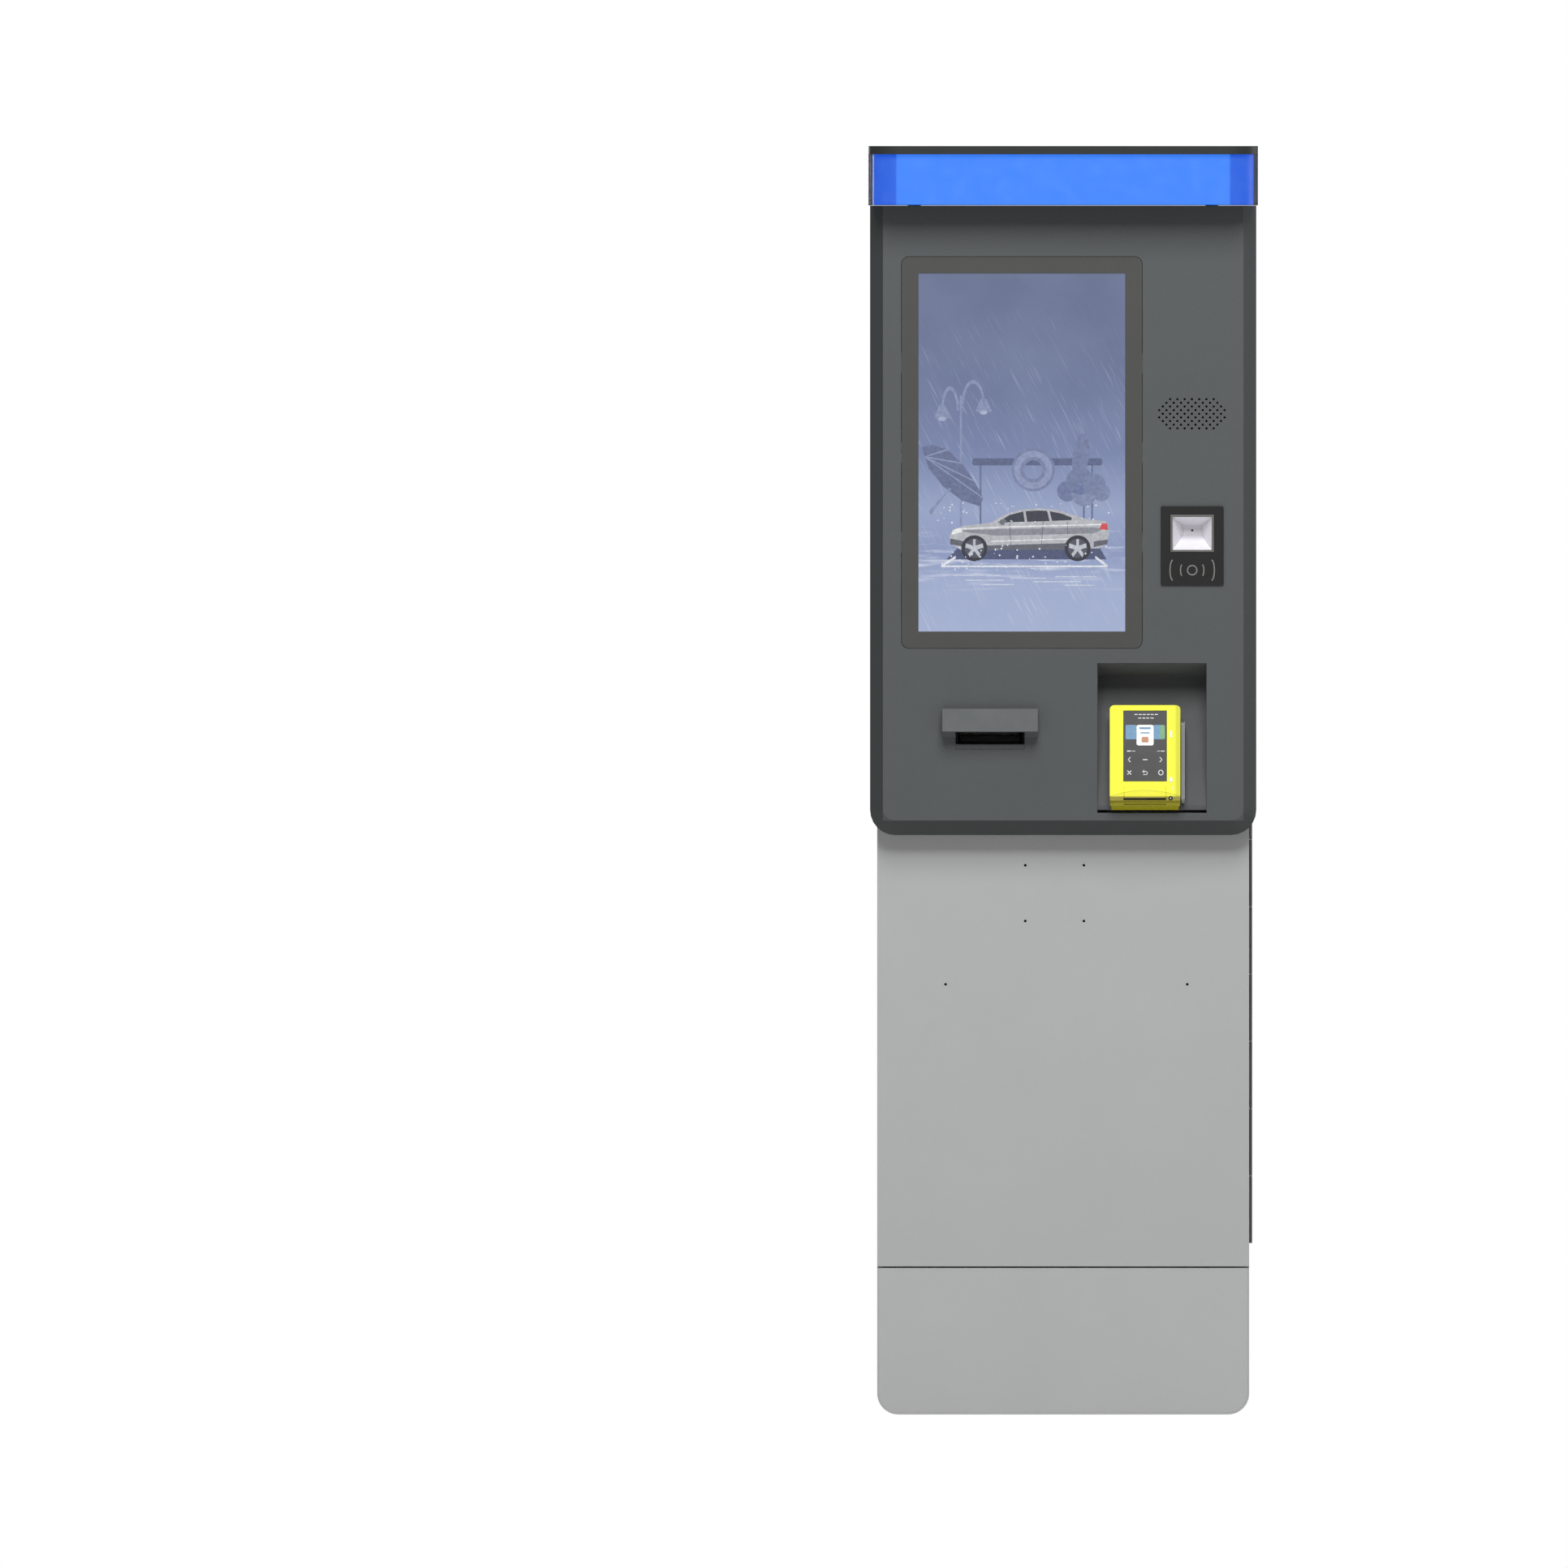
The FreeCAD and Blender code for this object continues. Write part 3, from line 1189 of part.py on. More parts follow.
def cabinet_equipment():
    """What stands inside the cabinet, on a plate carried from side to side."""
    back = "equipment_plate_place"
    node(box("gear_plate", (f"-{inside}", inside), (back, f"{back}+sheet"),
             ("plinth_height", "plinth_height+equipment_plate_height")), "equipment_plate")
    start = f"({back}+sheet)"
    node(box("supply", centred("supply_centre", "supply_width"), (start, f"{start}+supply_depth"),
             ("supply_place", "supply_place+supply_height")), "power_supply")
    node(box("controller", centred("controller_centre", "controller_width"),
             (start, f"{start}+controller_depth"),
             ("controller_place", "controller_place+controller_height")), "controller_box")
    rail_z = "(breaker_place+breaker_height/2)"
    node(box("din_rail_bar", ("-din_rail_half", "din_rail_half"), (start, f"{start}+din_rail_depth"),
             centred(rail_z, "din_rail_height")), "din_rail")
    case = box("breaker_case", centred("breaker_centre", "breaker_width"),
               (f"{start}+din_rail_depth+breaker_gap", f"{start}+breaker_depth"),
               centred(rail_z, "breaker_height"))
    pit = box("breaker_pit", centred("breaker_centre", "breaker_pit_width"),
              (f"{start}+breaker_depth-breaker_pit_depth", f"{start}+breaker_depth+1"),
              centred(rail_z, "breaker_pit_height"))
    pivot = cylinder("breaker_pivot_hole", "x", "toggle_axle_radius+pin_clearance",
                     centred("breaker_centre", "toggle_axle_length+1"),
                     f"{start}+breaker_depth-toggle_setback", rail_z)
    node(cut("circuit_breaker", case, pit, pivot), "circuit_breaker")
    bar = box("toggle_bar", centred("breaker_centre", "toggle_width"),
              (f"{start}+breaker_depth-toggle_back", f"{start}+breaker_depth+toggle_reach"),
              centred(rail_z, "toggle_height"))
    hub = cylinder("toggle_hub", "x", "toggle_hub_radius", centred("breaker_centre", "toggle_width"),
                   f"{start}+breaker_depth-toggle_setback", rail_z)
    axle = cylinder("toggle_axle", "x", "toggle_axle_radius",
                    centred("breaker_centre", "toggle_axle_length"),
                    f"{start}+breaker_depth-toggle_setback", rail_z)
    node(fuse("breaker_toggle", bar, hub, axle), "breaker_toggle")
    tube = cylinder("gland_tube", "z", "gland_radius", "0", "0",
                    ("gland_start", "sheet+base_thickness+gland_rise"))
    collar = cylinder("gland_collar", "z", "gland_radius+gland_collar_width", "0", "0",
                      ("sheet+base_thickness", "sheet+base_thickness+gland_collar_height"))
    bore = cylinder("gland_bore", "z", "gland_radius-gland_wall", "0", "0",
                    ("-1", "2*gland_rise+base_thickness"))
    node(cut("cable_gland", fuse("gland_outer", tube, collar), bore), "cable_gland")


def louvre_columns():
    """(centre, length, lowest edge, count) of each column of louvres."""
    upper = "(fan_lower_height-louvre_drop)"
    many, few = sizes["upper_louvre_count"], sizes["short_louvre_count"]
    return [("-louvre_offset", "louvre_length", upper, many),
            ("louvre_offset", "louvre_length", upper, many),
            ("0", "louvre_length+louvre_extra", f"({upper}+3.5*louvre_pitch)", few),
            ("0", "lower_louvre_length", "lower_louvre_height", few)]


def rear_door_pan():
    """A folded tray with pressed louvres, each a hood that is open at its lower edge."""
    z = (rear_door_bottom, f"{rear_band_bottom}-rear_door_clearance")
    block = box("rear_block", (f"-{side}", side), (rear_seam, rear), z)
    room = box("rear_room", (f"-{inside}", inside), (f"{rear_seam}+sheet", f"{rear}-sheet"),
               (f"{z[0]}+sheet", f"{z[1]}-sheet"))
    back = box("rear_back", (f"flange_width-{side}", f"{side}-flange_width"),
               (f"{rear_seam}-1", f"{rear_seam}+sheet+1"),
               (f"{z[0]}+flange_width", f"{z[1]}-flange_width"))
    lock_hole = cylinder("rear_lock_hole", "y", "lock_radius+lock_clearance", "lock_place",
                         (f"{rear}-sheet-1", f"{rear}+1"),
                         "lock_height")
    hoods, slots = [], []
    for column, (centre, length, low, count) in enumerate(louvre_columns()):
        hood = louvre(f"hood_{column}", centre, length, low, "0", f"{rear}-sheet/2")
        room_in = louvre(f"hood_room_{column}", centre, length, low, "louvre_wall", f"{rear}-sheet-1")
        for tool, made in ((hood, hoods), (room_in, slots)):
            row = doc.addObject("Part::Compound", f"{tool.Name}_row")
            copies = []
            for i in range(count):
                copy = doc.addObject("Part::Compound", f"{tool.Name}_{i}")
                copy.Links = [tool]
                bind(copy, "Placement.Base.z", f"{i}*louvre_pitch")
                copies.append(copy)
            row.Links = copies
            made.append(row)
    panel = fuse("rear_panel", block, *hoods)
    node(cut("rear_door_pan", panel, room, back, lock_hole, *slots), "rear_door_pan")


def louvre(name, centre, length, low, wall, start):
    """Quarter-round hood drawn from the side, closed at its ends and top."""
    body = new_body(name)
    tall = f"(louvre_height-{wall})"
    out = f"(louvre_projection-{wall})"
    foot = f"({low}-louvre_foot-({wall})/2)"
    arc = [(f"{rear}+{out}*sin({a})", f"{low}+{tall}*cos({a})") for a in range(0, 91, 18)]
    points = [(start, f"{low}+{tall}")] + arc + [(f"{rear}+{out}", foot), (start, foot)]
    pad(body, f"{name}_pad", "YZ", [points], f"{centre}-({length})/2+{wall}",
        f"{centre}+({length})/2-{wall}")
    return body


def fans():
    """Two fans, their guards and the intake filter, carried by the rear door."""
    y = (f"{rear}-sheet-fan_depth", f"{rear}-sheet")
    frames, guards = [], []
    for i, label in enumerate(("lower", "upper")):
        z = f"(fan_lower_height+{i}*fan_spacing)"
        case = box(f"fan_case_{label}", centred("0", "fan_size"), y, centred(z, "fan_size"))
        bore = cylinder(f"fan_bore_{label}", "y", "fan_bore_radius", "0", (f"{y[0]}-1", f"{y[1]}+1"), z)
        bridge = box(f"fan_bridge_{label}", centred("0", "fan_size"), (f"{y[1]}-fan_bridge_depth", y[1]),
                     centred(z, "fan_bridge_width"))
        seat = cylinder(f"fan_seat_{label}", "y", "impeller_hub_radius", "0",
                        (f"{y[1]}-fan_bridge_depth", y[1]), z)
        spindle = cylinder(f"fan_spindle_{label}", "y", "fan_spindle_radius", "0",
                           (f"{y[0]}+spindle_start", f"{y[1]}-1"), z)
        frames.append(fuse(f"fan_{label}", cut(f"fan_shell_{label}", case, bore), bridge, seat, spindle))
        node(impeller(f"fan_impeller_{label}", y, z), f"fan_impeller_{label}")
        for k in (1, 2, 3):
            rim = doc.addObject("Part::Torus", f"guard_ring_{label}_{k}")
            rim.Placement = FreeCAD.Placement(FreeCAD.Vector(),
                                              FreeCAD.Rotation(FreeCAD.Vector(1, 0, 0), 90))
            bind(rim, "Radius1", f"fan_bore_radius*{k}/3")
            bind(rim, "Radius2", "guard_wire_radius")
            bind(rim, "Placement.Base.y", f"{y[0]}-guard_gap")
            bind(rim, "Placement.Base.z", z)
            guards.append(rim)
        guards.append(box(f"guard_bar_{label}", centred("0", "fan_size"), (f"{y[0]}-guard_bar", y[0]),
                          centred(z, "guard_bar")))
        guards.append(box(f"guard_post_{label}", centred("0", "guard_bar"), (f"{y[0]}-guard_bar", y[0]),
                          centred(z, "fan_size")))
    node(group("fan_frames", frames), "fan_frames")
    node(fuse("fan_guards", *guards), "fan_guards")
    node(box("filter_mat", centred("0", "filter_width"), (f"{rear}-sheet-filter_depth", f"{rear}-sheet"),
             ("lower_louvre_height-filter_drop", "lower_louvre_height-filter_drop+filter_height")), "intake_filter")


BLADES = 7
BLADE_PITCH = 35


def impeller(name, y, z):
    """Seven pitched blades round a hub that turns on the fan's spindle."""
    hub = cylinder(f"{name}_hub", "y", "impeller_hub_radius", "0",
                   (f"{y[0]}+hub_front", f"{y[1]}-hub_rear"), z)
    bore = cylinder(f"{name}_bore", "y", "fan_spindle_radius+pin_clearance", "0", (f"{y[0]}+hub_cap", y[1]),
                    z)
    blades = []
    for k in range(BLADES):
        blade = doc.addObject("Part::Box", f"{name}_blade_{k}")
        tilt = FreeCAD.Rotation(FreeCAD.Vector(0, 1, 0), 360 * k / BLADES)
        pitch = FreeCAD.Rotation(FreeCAD.Vector(0, 0, 1), BLADE_PITCH)
        blade.Placement = FreeCAD.Placement(FreeCAD.Vector(), tilt.multiply(pitch))
        bind(blade, "Length", "blade_depth")
        bind(blade, "Width", "blade_thickness")
        bind(blade, "Height", "impeller_radius-guard_bar")
        bind(blade, "Placement.Base.y", f"{y[0]}+blade_setback")
        bind(blade, "Placement.Base.z", z)
        blades.append(blade)
    return cut(name, fuse(f"{name}_whole", hub, *blades), bore)


def rear_lock():
    """Key lock whose cam draws an upper and a lower latch rod."""
    y = (f"{rear}-sheet-lock_depth", rear)
    case = cylinder("lock_case_body", "y", "lock_radius", "lock_place", (y[0], rear), "lock_height")
    keyhole = cylinder("lock_case_bore", "y", "lock_barrel_radius+pin_clearance", "lock_place",
                       (f"{y[0]}-1", f"{rear}+1"),
                       "lock_height")
    node(cut("lock_case", case, keyhole), "lock_case")
    barrel = cylinder("lock_barrel", "y", "lock_barrel_radius", "lock_place",
                      (f"{y[0]}-lock_barrel_start", f"{rear}-lock_barrel_recess"), "lock_height")
    slot = box("key_slot", centred("lock_place", "key_slot_width"), (f"{rear}-key_slot_depth", f"{rear}+1"),
               centred("lock_height", "key_slot_height"))
    cam_back = f"{y[0]}-lock_barrel_start"
    cam = box("lock_cam_arm", centred("lock_place", "cam_width"), (cam_back, f"{cam_back}+cam_thickness"),
              centred("lock_height", "cam_height"))
    node(cut("lock_cam", fuse("lock_cam_whole", barrel, cam), slot), "lock_cam")
    rod_y = f"({cam_back}-rod_gap-rod_radius)"
    node(cylinder("rod_up", "z", "rod_radius", "lock_place-rod_offset", rod_y,
                  ("lock_height-rod_overlap", f"{rear_band_bottom}-frame_width-rod_clearance")), "latch_rod_upper")
    node(cylinder("rod_down", "z", "rod_radius", "lock_place+rod_offset", rod_y,
                  ("plinth_height+frame_width+rod_clearance",
                   "lock_height+rod_overlap")), "latch_rod_lower")
    guides = []
    for x, z in (("lock_place-rod_offset", "lock_height+guide_near"),
                 ("lock_place-rod_offset", "lock_height+guide_far"),
                 ("lock_place+rod_offset", "lock_height-guide_far"),
                 ("lock_place+rod_offset", "lock_height-guide_near")):
        block = box(f"guide_{len(guides)}", centred(x, "guide_width"),
                    (f"{rod_y}-guide_back", f"{rear}-sheet"),
                    centred(z, "guide_height"))
        hole = cylinder(f"guide_hole_{len(guides)}", "z", "rod_radius+pin_clearance", x, rod_y,
                        centred(z, "guide_height+2"))
        guides.append(cut(f"rod_guide_{len(guides)}", block, hole))
    node(group("rod_guides", guides), "rod_guides")


def finish():
    """Checks every object, then writes one STEP file for each node."""
    doc.removeObject(probe.Name)
    doc.recompute()
    for item in doc.Objects:
        if "Invalid" in item.State or "Error" in item.State:
            raise ValueError(f"{item.Label} failed: {item.State}")
    os.makedirs("parts", exist_ok=True)
    for item in nodes:
        if item.Shape.isNull() or not item.Shape.isValid():
            raise ValueError(f"{item.Label} has no valid shape")
    for item in nodes:
        item.Shape.exportStep(f"parts/{item.Label}.step")
        print(item.Label, round(item.Shape.Volume), len(item.Shape.Solids))


cabinet_shell()
base_plate()
node(group("plinth_plates", [plinth_plate("plinth_front", (front, f"{front}+sheet")),
                             plinth_plate("plinth_rear", (f"{rear}-sheet", rear))]), "plinth_plates")
cabinet_plates()
seals()
hinges()
canopy()
front_door_pan()
head_panel()
display()
speaker()
scanner()
receipt_hood()
printer()
printer_drive()
paper_roll()
card_niche()
card_terminal()
cabinet_equipment()
rear_door_pan()
fans()
rear_lock()
finish()
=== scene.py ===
import bpy
import bmesh
import math
import random
from mathutils import Matrix, Vector


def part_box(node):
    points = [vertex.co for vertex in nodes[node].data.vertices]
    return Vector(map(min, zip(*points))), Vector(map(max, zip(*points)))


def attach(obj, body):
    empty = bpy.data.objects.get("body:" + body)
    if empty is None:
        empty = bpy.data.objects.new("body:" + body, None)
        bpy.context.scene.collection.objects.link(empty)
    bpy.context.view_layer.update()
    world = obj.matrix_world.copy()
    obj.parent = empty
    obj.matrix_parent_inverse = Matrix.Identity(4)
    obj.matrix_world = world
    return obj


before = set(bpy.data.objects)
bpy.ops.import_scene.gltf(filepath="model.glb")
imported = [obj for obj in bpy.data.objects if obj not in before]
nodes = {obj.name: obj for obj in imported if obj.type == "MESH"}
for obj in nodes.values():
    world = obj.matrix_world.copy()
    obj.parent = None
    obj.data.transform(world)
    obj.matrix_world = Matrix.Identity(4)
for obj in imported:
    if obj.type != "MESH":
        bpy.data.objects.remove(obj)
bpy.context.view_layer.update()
scene = bpy.context.scene

# camera, floor and light
stage = {
    "camera": (-0.3715, -6.0, 0.839),
    "orthoScale": 2.0866,
    "floorSize": 60.0,
    "floorColor": (0.90, 0.90, 0.89, 1),
    "floorRoughness": 0.8,
    "skyColor": (1.0, 1.0, 1.0, 1),
    "skyStrength": 1.0,
    "shadeStrength": 0.24,
    "lampSize": 2.4,
    "lampTarget": (0, 0, 0.9),
}
# each lamp's power and place
lamps = {
    "key": (235.0, (0.15, -3.6, 4.4)),
    "fill": (60.0, (4.6, 2.2, 2.0)),
    "back": (120.0, (-1.6, 5.0, 2.6)),
}


def aim(thing, target):
    direction = Vector(target) - thing.location
    thing.rotation_euler = direction.to_track_quat("-Z", "Y").to_euler()


def makeStage():
    scene.view_settings.view_transform = "Standard"
    camera = bpy.data.objects.new("camera", bpy.data.cameras.new("camera"))
    camera.data.type = "ORTHO"
    camera.data.ortho_scale = stage["orthoScale"]
    camera.location = stage["camera"]
    camera.rotation_euler = (math.pi / 2, 0, 0)
    scene.collection.objects.link(camera)
    scene.camera = camera
    world = bpy.data.worlds.new("studio")
    world.use_nodes = True
    # the backdrop is seen white, and lights the object more softly than it looks
    tree = world.node_tree
    sky = tree.nodes["Background"]
    sky.inputs["Color"].default_value = stage["skyColor"]
    ray = tree.nodes.new("ShaderNodeLightPath")
    level = tree.nodes.new("ShaderNodeMapRange")
    level.inputs["To Min"].default_value = stage["shadeStrength"]
    level.inputs["To Max"].default_value = stage["skyStrength"]
    tree.links.new(ray.outputs["Is Camera Ray"], level.inputs["Value"])
    tree.links.new(level.outputs[0], sky.inputs["Strength"])
    scene.world = world
    for name, (power, place) in lamps.items():
        light = bpy.data.lights.new(name, "AREA")
        light.energy = power
        light.size = stage["lampSize"]
        lamp = bpy.data.objects.new(name, light)
        lamp.location = place
        scene.collection.objects.link(lamp)
        aim(lamp, stage["lampTarget"])
    bpy.ops.mesh.primitive_plane_add(size=stage["floorSize"], location=(0, 0, 0))
    floor = bpy.context.object
    floor.name = "floor"
    paint = bpy.data.materials.new("floorPaint")
    paint.use_nodes = True
    shader = paint.node_tree.nodes["Principled BSDF"]
    shader.inputs["Base Color"].default_value = stage["floorColor"]
    shader.inputs["Roughness"].default_value = stage["floorRoughness"]
    floor.data.materials.append(paint)


makeStage()
print("stage ready")


# shared effects
def newGroup(name, inputs, outputs):
    tree = bpy.data.node_groups.new(name, "ShaderNodeTree")
    for label, kind, value in inputs:
        socket = tree.interface.new_socket(label, in_out="INPUT", socket_type=kind)
        socket.default_value = value
    for label, kind in outputs:
        tree.interface.new_socket(label, in_out="OUTPUT", socket_type=kind)
    return tree, tree.nodes.new("NodeGroupInput"), tree.nodes.new("NodeGroupOutput")


def mathNode(tree, operation, first, second=None, third=None):
    node = tree.nodes.new("ShaderNodeMath")
    node.operation = operation
    for index, item in enumerate((first, second, third)):
        if item is None:
            continue
        if isinstance(item, (int, float)):
            node.inputs[index].default_value = item
        else:
            tree.links.new(item, node.inputs[index])
    return node.outputs[0]


def noiseNode(tree, vector, scale, detail=3.0, rough=0.55):
    node = tree.nodes.new("ShaderNodeTexNoise")
    tree.links.new(vector, node.inputs["Vector"])
    node.inputs["Detail"].default_value = detail
    node.inputs["Roughness"].default_value = rough
    if isinstance(scale, (int, float)):
        node.inputs["Scale"].default_value = scale
    else:
        tree.links.new(scale, node.inputs["Scale"])
    return node.outputs["Fac"]


def mixColor(tree, factor, first, second, blend="MIX"):
    node = tree.nodes.new("ShaderNodeMix")
    node.data_type = "RGBA"
    node.blend_type = blend
    for socket, item in ((node.inputs[0], factor), (node.inputs[6], first), (node.inputs[7], second)):
        if isinstance(item, bpy.types.NodeSocket):
            tree.links.new(item, socket)
        else:
            socket.default_value = item
    return node.outputs[2]


def spread(tree, value, low, high, newLow=0.0, newHigh=1.0):
    node = tree.nodes.new("ShaderNodeMapRange")
    tree.links.new(value, node.inputs["Value"])
    for label, number in (("From Min", low), ("From Max", high), ("To Min", newLow), ("To Max", newHigh)):
        node.inputs[label].default_value = number
    return node.outputs[0]


edgeRadius = 0.0012


def makeFinishGroup():
    # grain, cloudy tone, dust on ledges and wear at edges, for paint and moulded plastic
    tree, enter, leave = newGroup("surfaceFinish", [
        ("Color", "NodeSocketColor", (0.5, 0.5, 0.5, 1)),
        ("Worn Color", "NodeSocketColor", (0.7, 0.7, 0.7, 1)),
        ("Dust Color", "NodeSocketColor", (0.6, 0.58, 0.54, 1)),
        ("Grain Scale", "NodeSocketFloat", 900.0),
        ("Cloud", "NodeSocketFloat", 0.08),
        ("Wear", "NodeSocketFloat", 0.3),
        ("Dust", "NodeSocketFloat", 0.2),
        ("Rough", "NodeSocketFloat", 0.5),
    ], [("Color", "NodeSocketColor"), ("Roughness", "NodeSocketFloat"),
        ("Height", "NodeSocketFloat"), ("Normal", "NodeSocketVector")])
    place = tree.nodes.new("ShaderNodeTexCoord").outputs["Object"]
    geometry = tree.nodes.new("ShaderNodeNewGeometry")
    grain = noiseNode(tree, place, enter.outputs["Grain Scale"], 2.0)
    cloud = noiseNode(tree, place, 6.0, 4.0)
    blotch = noiseNode(tree, place, 38.0, 5.0, 0.65)
    tone = mathNode(tree, "MULTIPLY_ADD", mathNode(tree, "SUBTRACT", cloud, 0.5),
                    enter.outputs["Cloud"], 1.0)
    speckle = spread(tree, grain, 0.25, 0.75, 0.94, 1.06)
    shade = mathNode(tree, "MULTIPLY", tone, speckle)
    tinted = tree.nodes.new("ShaderNodeVectorMath")
    tinted.operation = "SCALE"
    tree.links.new(enter.outputs["Color"], tinted.inputs[0])
    tree.links.new(shade, tinted.inputs["Scale"])
    bevel = tree.nodes.new("ShaderNodeBevel")
    bevel.samples = 4
    bevel.inputs["Radius"].default_value = edgeRadius
    dot = tree.nodes.new("ShaderNodeVectorMath")
    dot.operation = "DOT_PRODUCT"
    tree.links.new(bevel.outputs[0], dot.inputs[0])
    tree.links.new(geometry.outputs["Normal"], dot.inputs[1])
    edge = spread(tree, dot.outputs["Value"], 0.985, 0.80)
    broken = spread(tree, blotch, 0.42, 0.62)
    worn = mathNode(tree, "MULTIPLY", mathNode(tree, "MULTIPLY", edge, broken), enter.outputs["Wear"])
    split = tree.nodes.new("ShaderNodeSeparateXYZ")
    tree.links.new(geometry.outputs["Normal"], split.inputs[0])
    upward = spread(tree, split.outputs["Z"], 0.5, 1.0)
    dusty = mathNode(tree, "MULTIPLY", mathNode(tree, "MULTIPLY", upward, spread(tree, blotch, 0.3, 0.7)),
                     enter.outputs["Dust"])
    color = mixColor(tree, worn, tinted.outputs[0], enter.outputs["Worn Color"])
    color = mixColor(tree, dusty, color, enter.outputs["Dust Color"])
    tree.links.new(color, leave.inputs["Color"])
    smear = mathNode(tree, "MULTIPLY", mathNode(tree, "SUBTRACT", blotch, 0.5), 0.22)
    rough = mathNode(tree, "ADD", mathNode(tree, "ADD", enter.outputs["Rough"], smear),
                     mathNode(tree, "MULTIPLY", dusty, 0.3))
    tree.links.new(rough, leave.inputs["Roughness"])
    tree.links.new(grain, leave.inputs["Height"])
    tree.links.new(bevel.outputs[0], leave.inputs["Normal"])
    return tree


def makeBrushGroup():
    # long fine lines and soft patches, for bare metal
    tree, enter, leave = newGroup("brushedMetal", [
        ("Color", "NodeSocketColor", (0.6, 0.6, 0.6, 1)),
        ("Stretch", "NodeSocketVector", (900.0, 900.0, 20.0)),
        ("Contrast", "NodeSocketFloat", 0.25),
        ("Rough", "NodeSocketFloat", 0.35),
    ], [("Color", "NodeSocketColor"), ("Roughness", "NodeSocketFloat"), ("Height", "NodeSocketFloat")])
    place = tree.nodes.new("ShaderNodeTexCoord").outputs["Object"]
    scaled = tree.nodes.new("ShaderNodeVectorMath")
    scaled.operation = "MULTIPLY"
    tree.links.new(place, scaled.inputs[0])
    tree.links.new(enter.outputs["Stretch"], scaled.inputs[1])
    lines = noiseNode(tree, scaled.outputs[0], 1.0, 3.0)
    patches = noiseNode(tree, place, 24.0, 4.0)
    shade = mathNode(tree, "MULTIPLY_ADD", mathNode(tree, "SUBTRACT", lines, 0.5), enter.outputs["Contrast"],
                     spread(tree, patches, 0.2, 0.8, 0.9, 1.08))
    tinted = tree.nodes.new("ShaderNodeVectorMath")
    tinted.operation = "SCALE"
    tree.links.new(enter.outputs["Color"], tinted.inputs[0])
    tree.links.new(shade, tinted.inputs["Scale"])
    tree.links.new(tinted.outputs[0], leave.inputs["Color"])
    uneven = mathNode(tree, "SUBTRACT", patches, 0.5)
    rough = mathNode(tree, "MULTIPLY_ADD", uneven, 0.3, enter.outputs["Rough"])
    tree.links.new(rough, leave.inputs["Roughness"])
    tree.links.new(lines, leave.inputs["Height"])
    return tree


finishGroup = makeFinishGroup()
brushGroup = makeBrushGroup()
scratchDepth = 0.00003


def newMaterial(name, **fixed):
    material = bpy.data.materials.new(name)
    material.use_nodes = True
    shader = material.node_tree.nodes["Principled BSDF"]
    for label, value in fixed.items():
        shader.inputs[label.replace("_", " ")].default_value = value
    return material, material.node_tree, shader


def addBump(tree, shader, height, distance, normal=None):
    bump = tree.nodes.new("ShaderNodeBump")
    bump.inputs["Strength"].default_value = 0.6
    bump.inputs["Distance"].default_value = distance
    tree.links.new(height, bump.inputs["Height"])
    if normal:
        tree.links.new(normal, bump.inputs["Normal"])
    tree.links.new(bump.outputs[0], shader.inputs["Normal"])


def finished(name, color, rough=0.5, grain=900.0, cloud=0.08, wear=0.3, dust=0.15, bump=0.00006,
             wornColor=(0.62, 0.62, 0.6, 1), **fixed):
    material, tree, shader = newMaterial(name, **fixed)
    group = tree.nodes.new("ShaderNodeGroup")
    group.node_tree = finishGroup
    settings = {"Color": (*color, 1), "Worn Color": wornColor, "Grain Scale": grain, "Cloud": cloud,
                "Wear": wear, "Dust": dust, "Rough": rough}
    for label, value in settings.items():
        group.inputs[label].default_value = value
    tree.links.new(group.outputs["Color"], shader.inputs["Base Color"])
    tree.links.new(group.outputs["Roughness"], shader.inputs["Roughness"])
    addBump(tree, shader, group.outputs["Height"], bump, group.outputs["Normal"])
    return material


def metal(name, color, rough):
    material, tree, shader = newMaterial(name, Metallic=1.0)
    group = tree.nodes.new("ShaderNodeGroup")
    group.node_tree = brushGroup
    group.inputs["Color"].default_value = (*color, 1)
    group.inputs["Rough"].default_value = rough
    tree.links.new(group.outputs["Color"], shader.inputs["Base Color"])
    tree.links.new(group.outputs["Roughness"], shader.inputs["Roughness"])
    addBump(tree, shader, group.outputs["Height"], scratchDepth)
    return material


def fromScreen(red, green, blue):
    # a colour as a screen shows it, 0 to 255, in the renderer's own linear units
    def linear(level):
        level /= 255
        return level / 12.92 if level <= 0.04045 else ((level + 0.055) / 1.055) ** 2.4
    return (linear(red), linear(green), linear(blue))


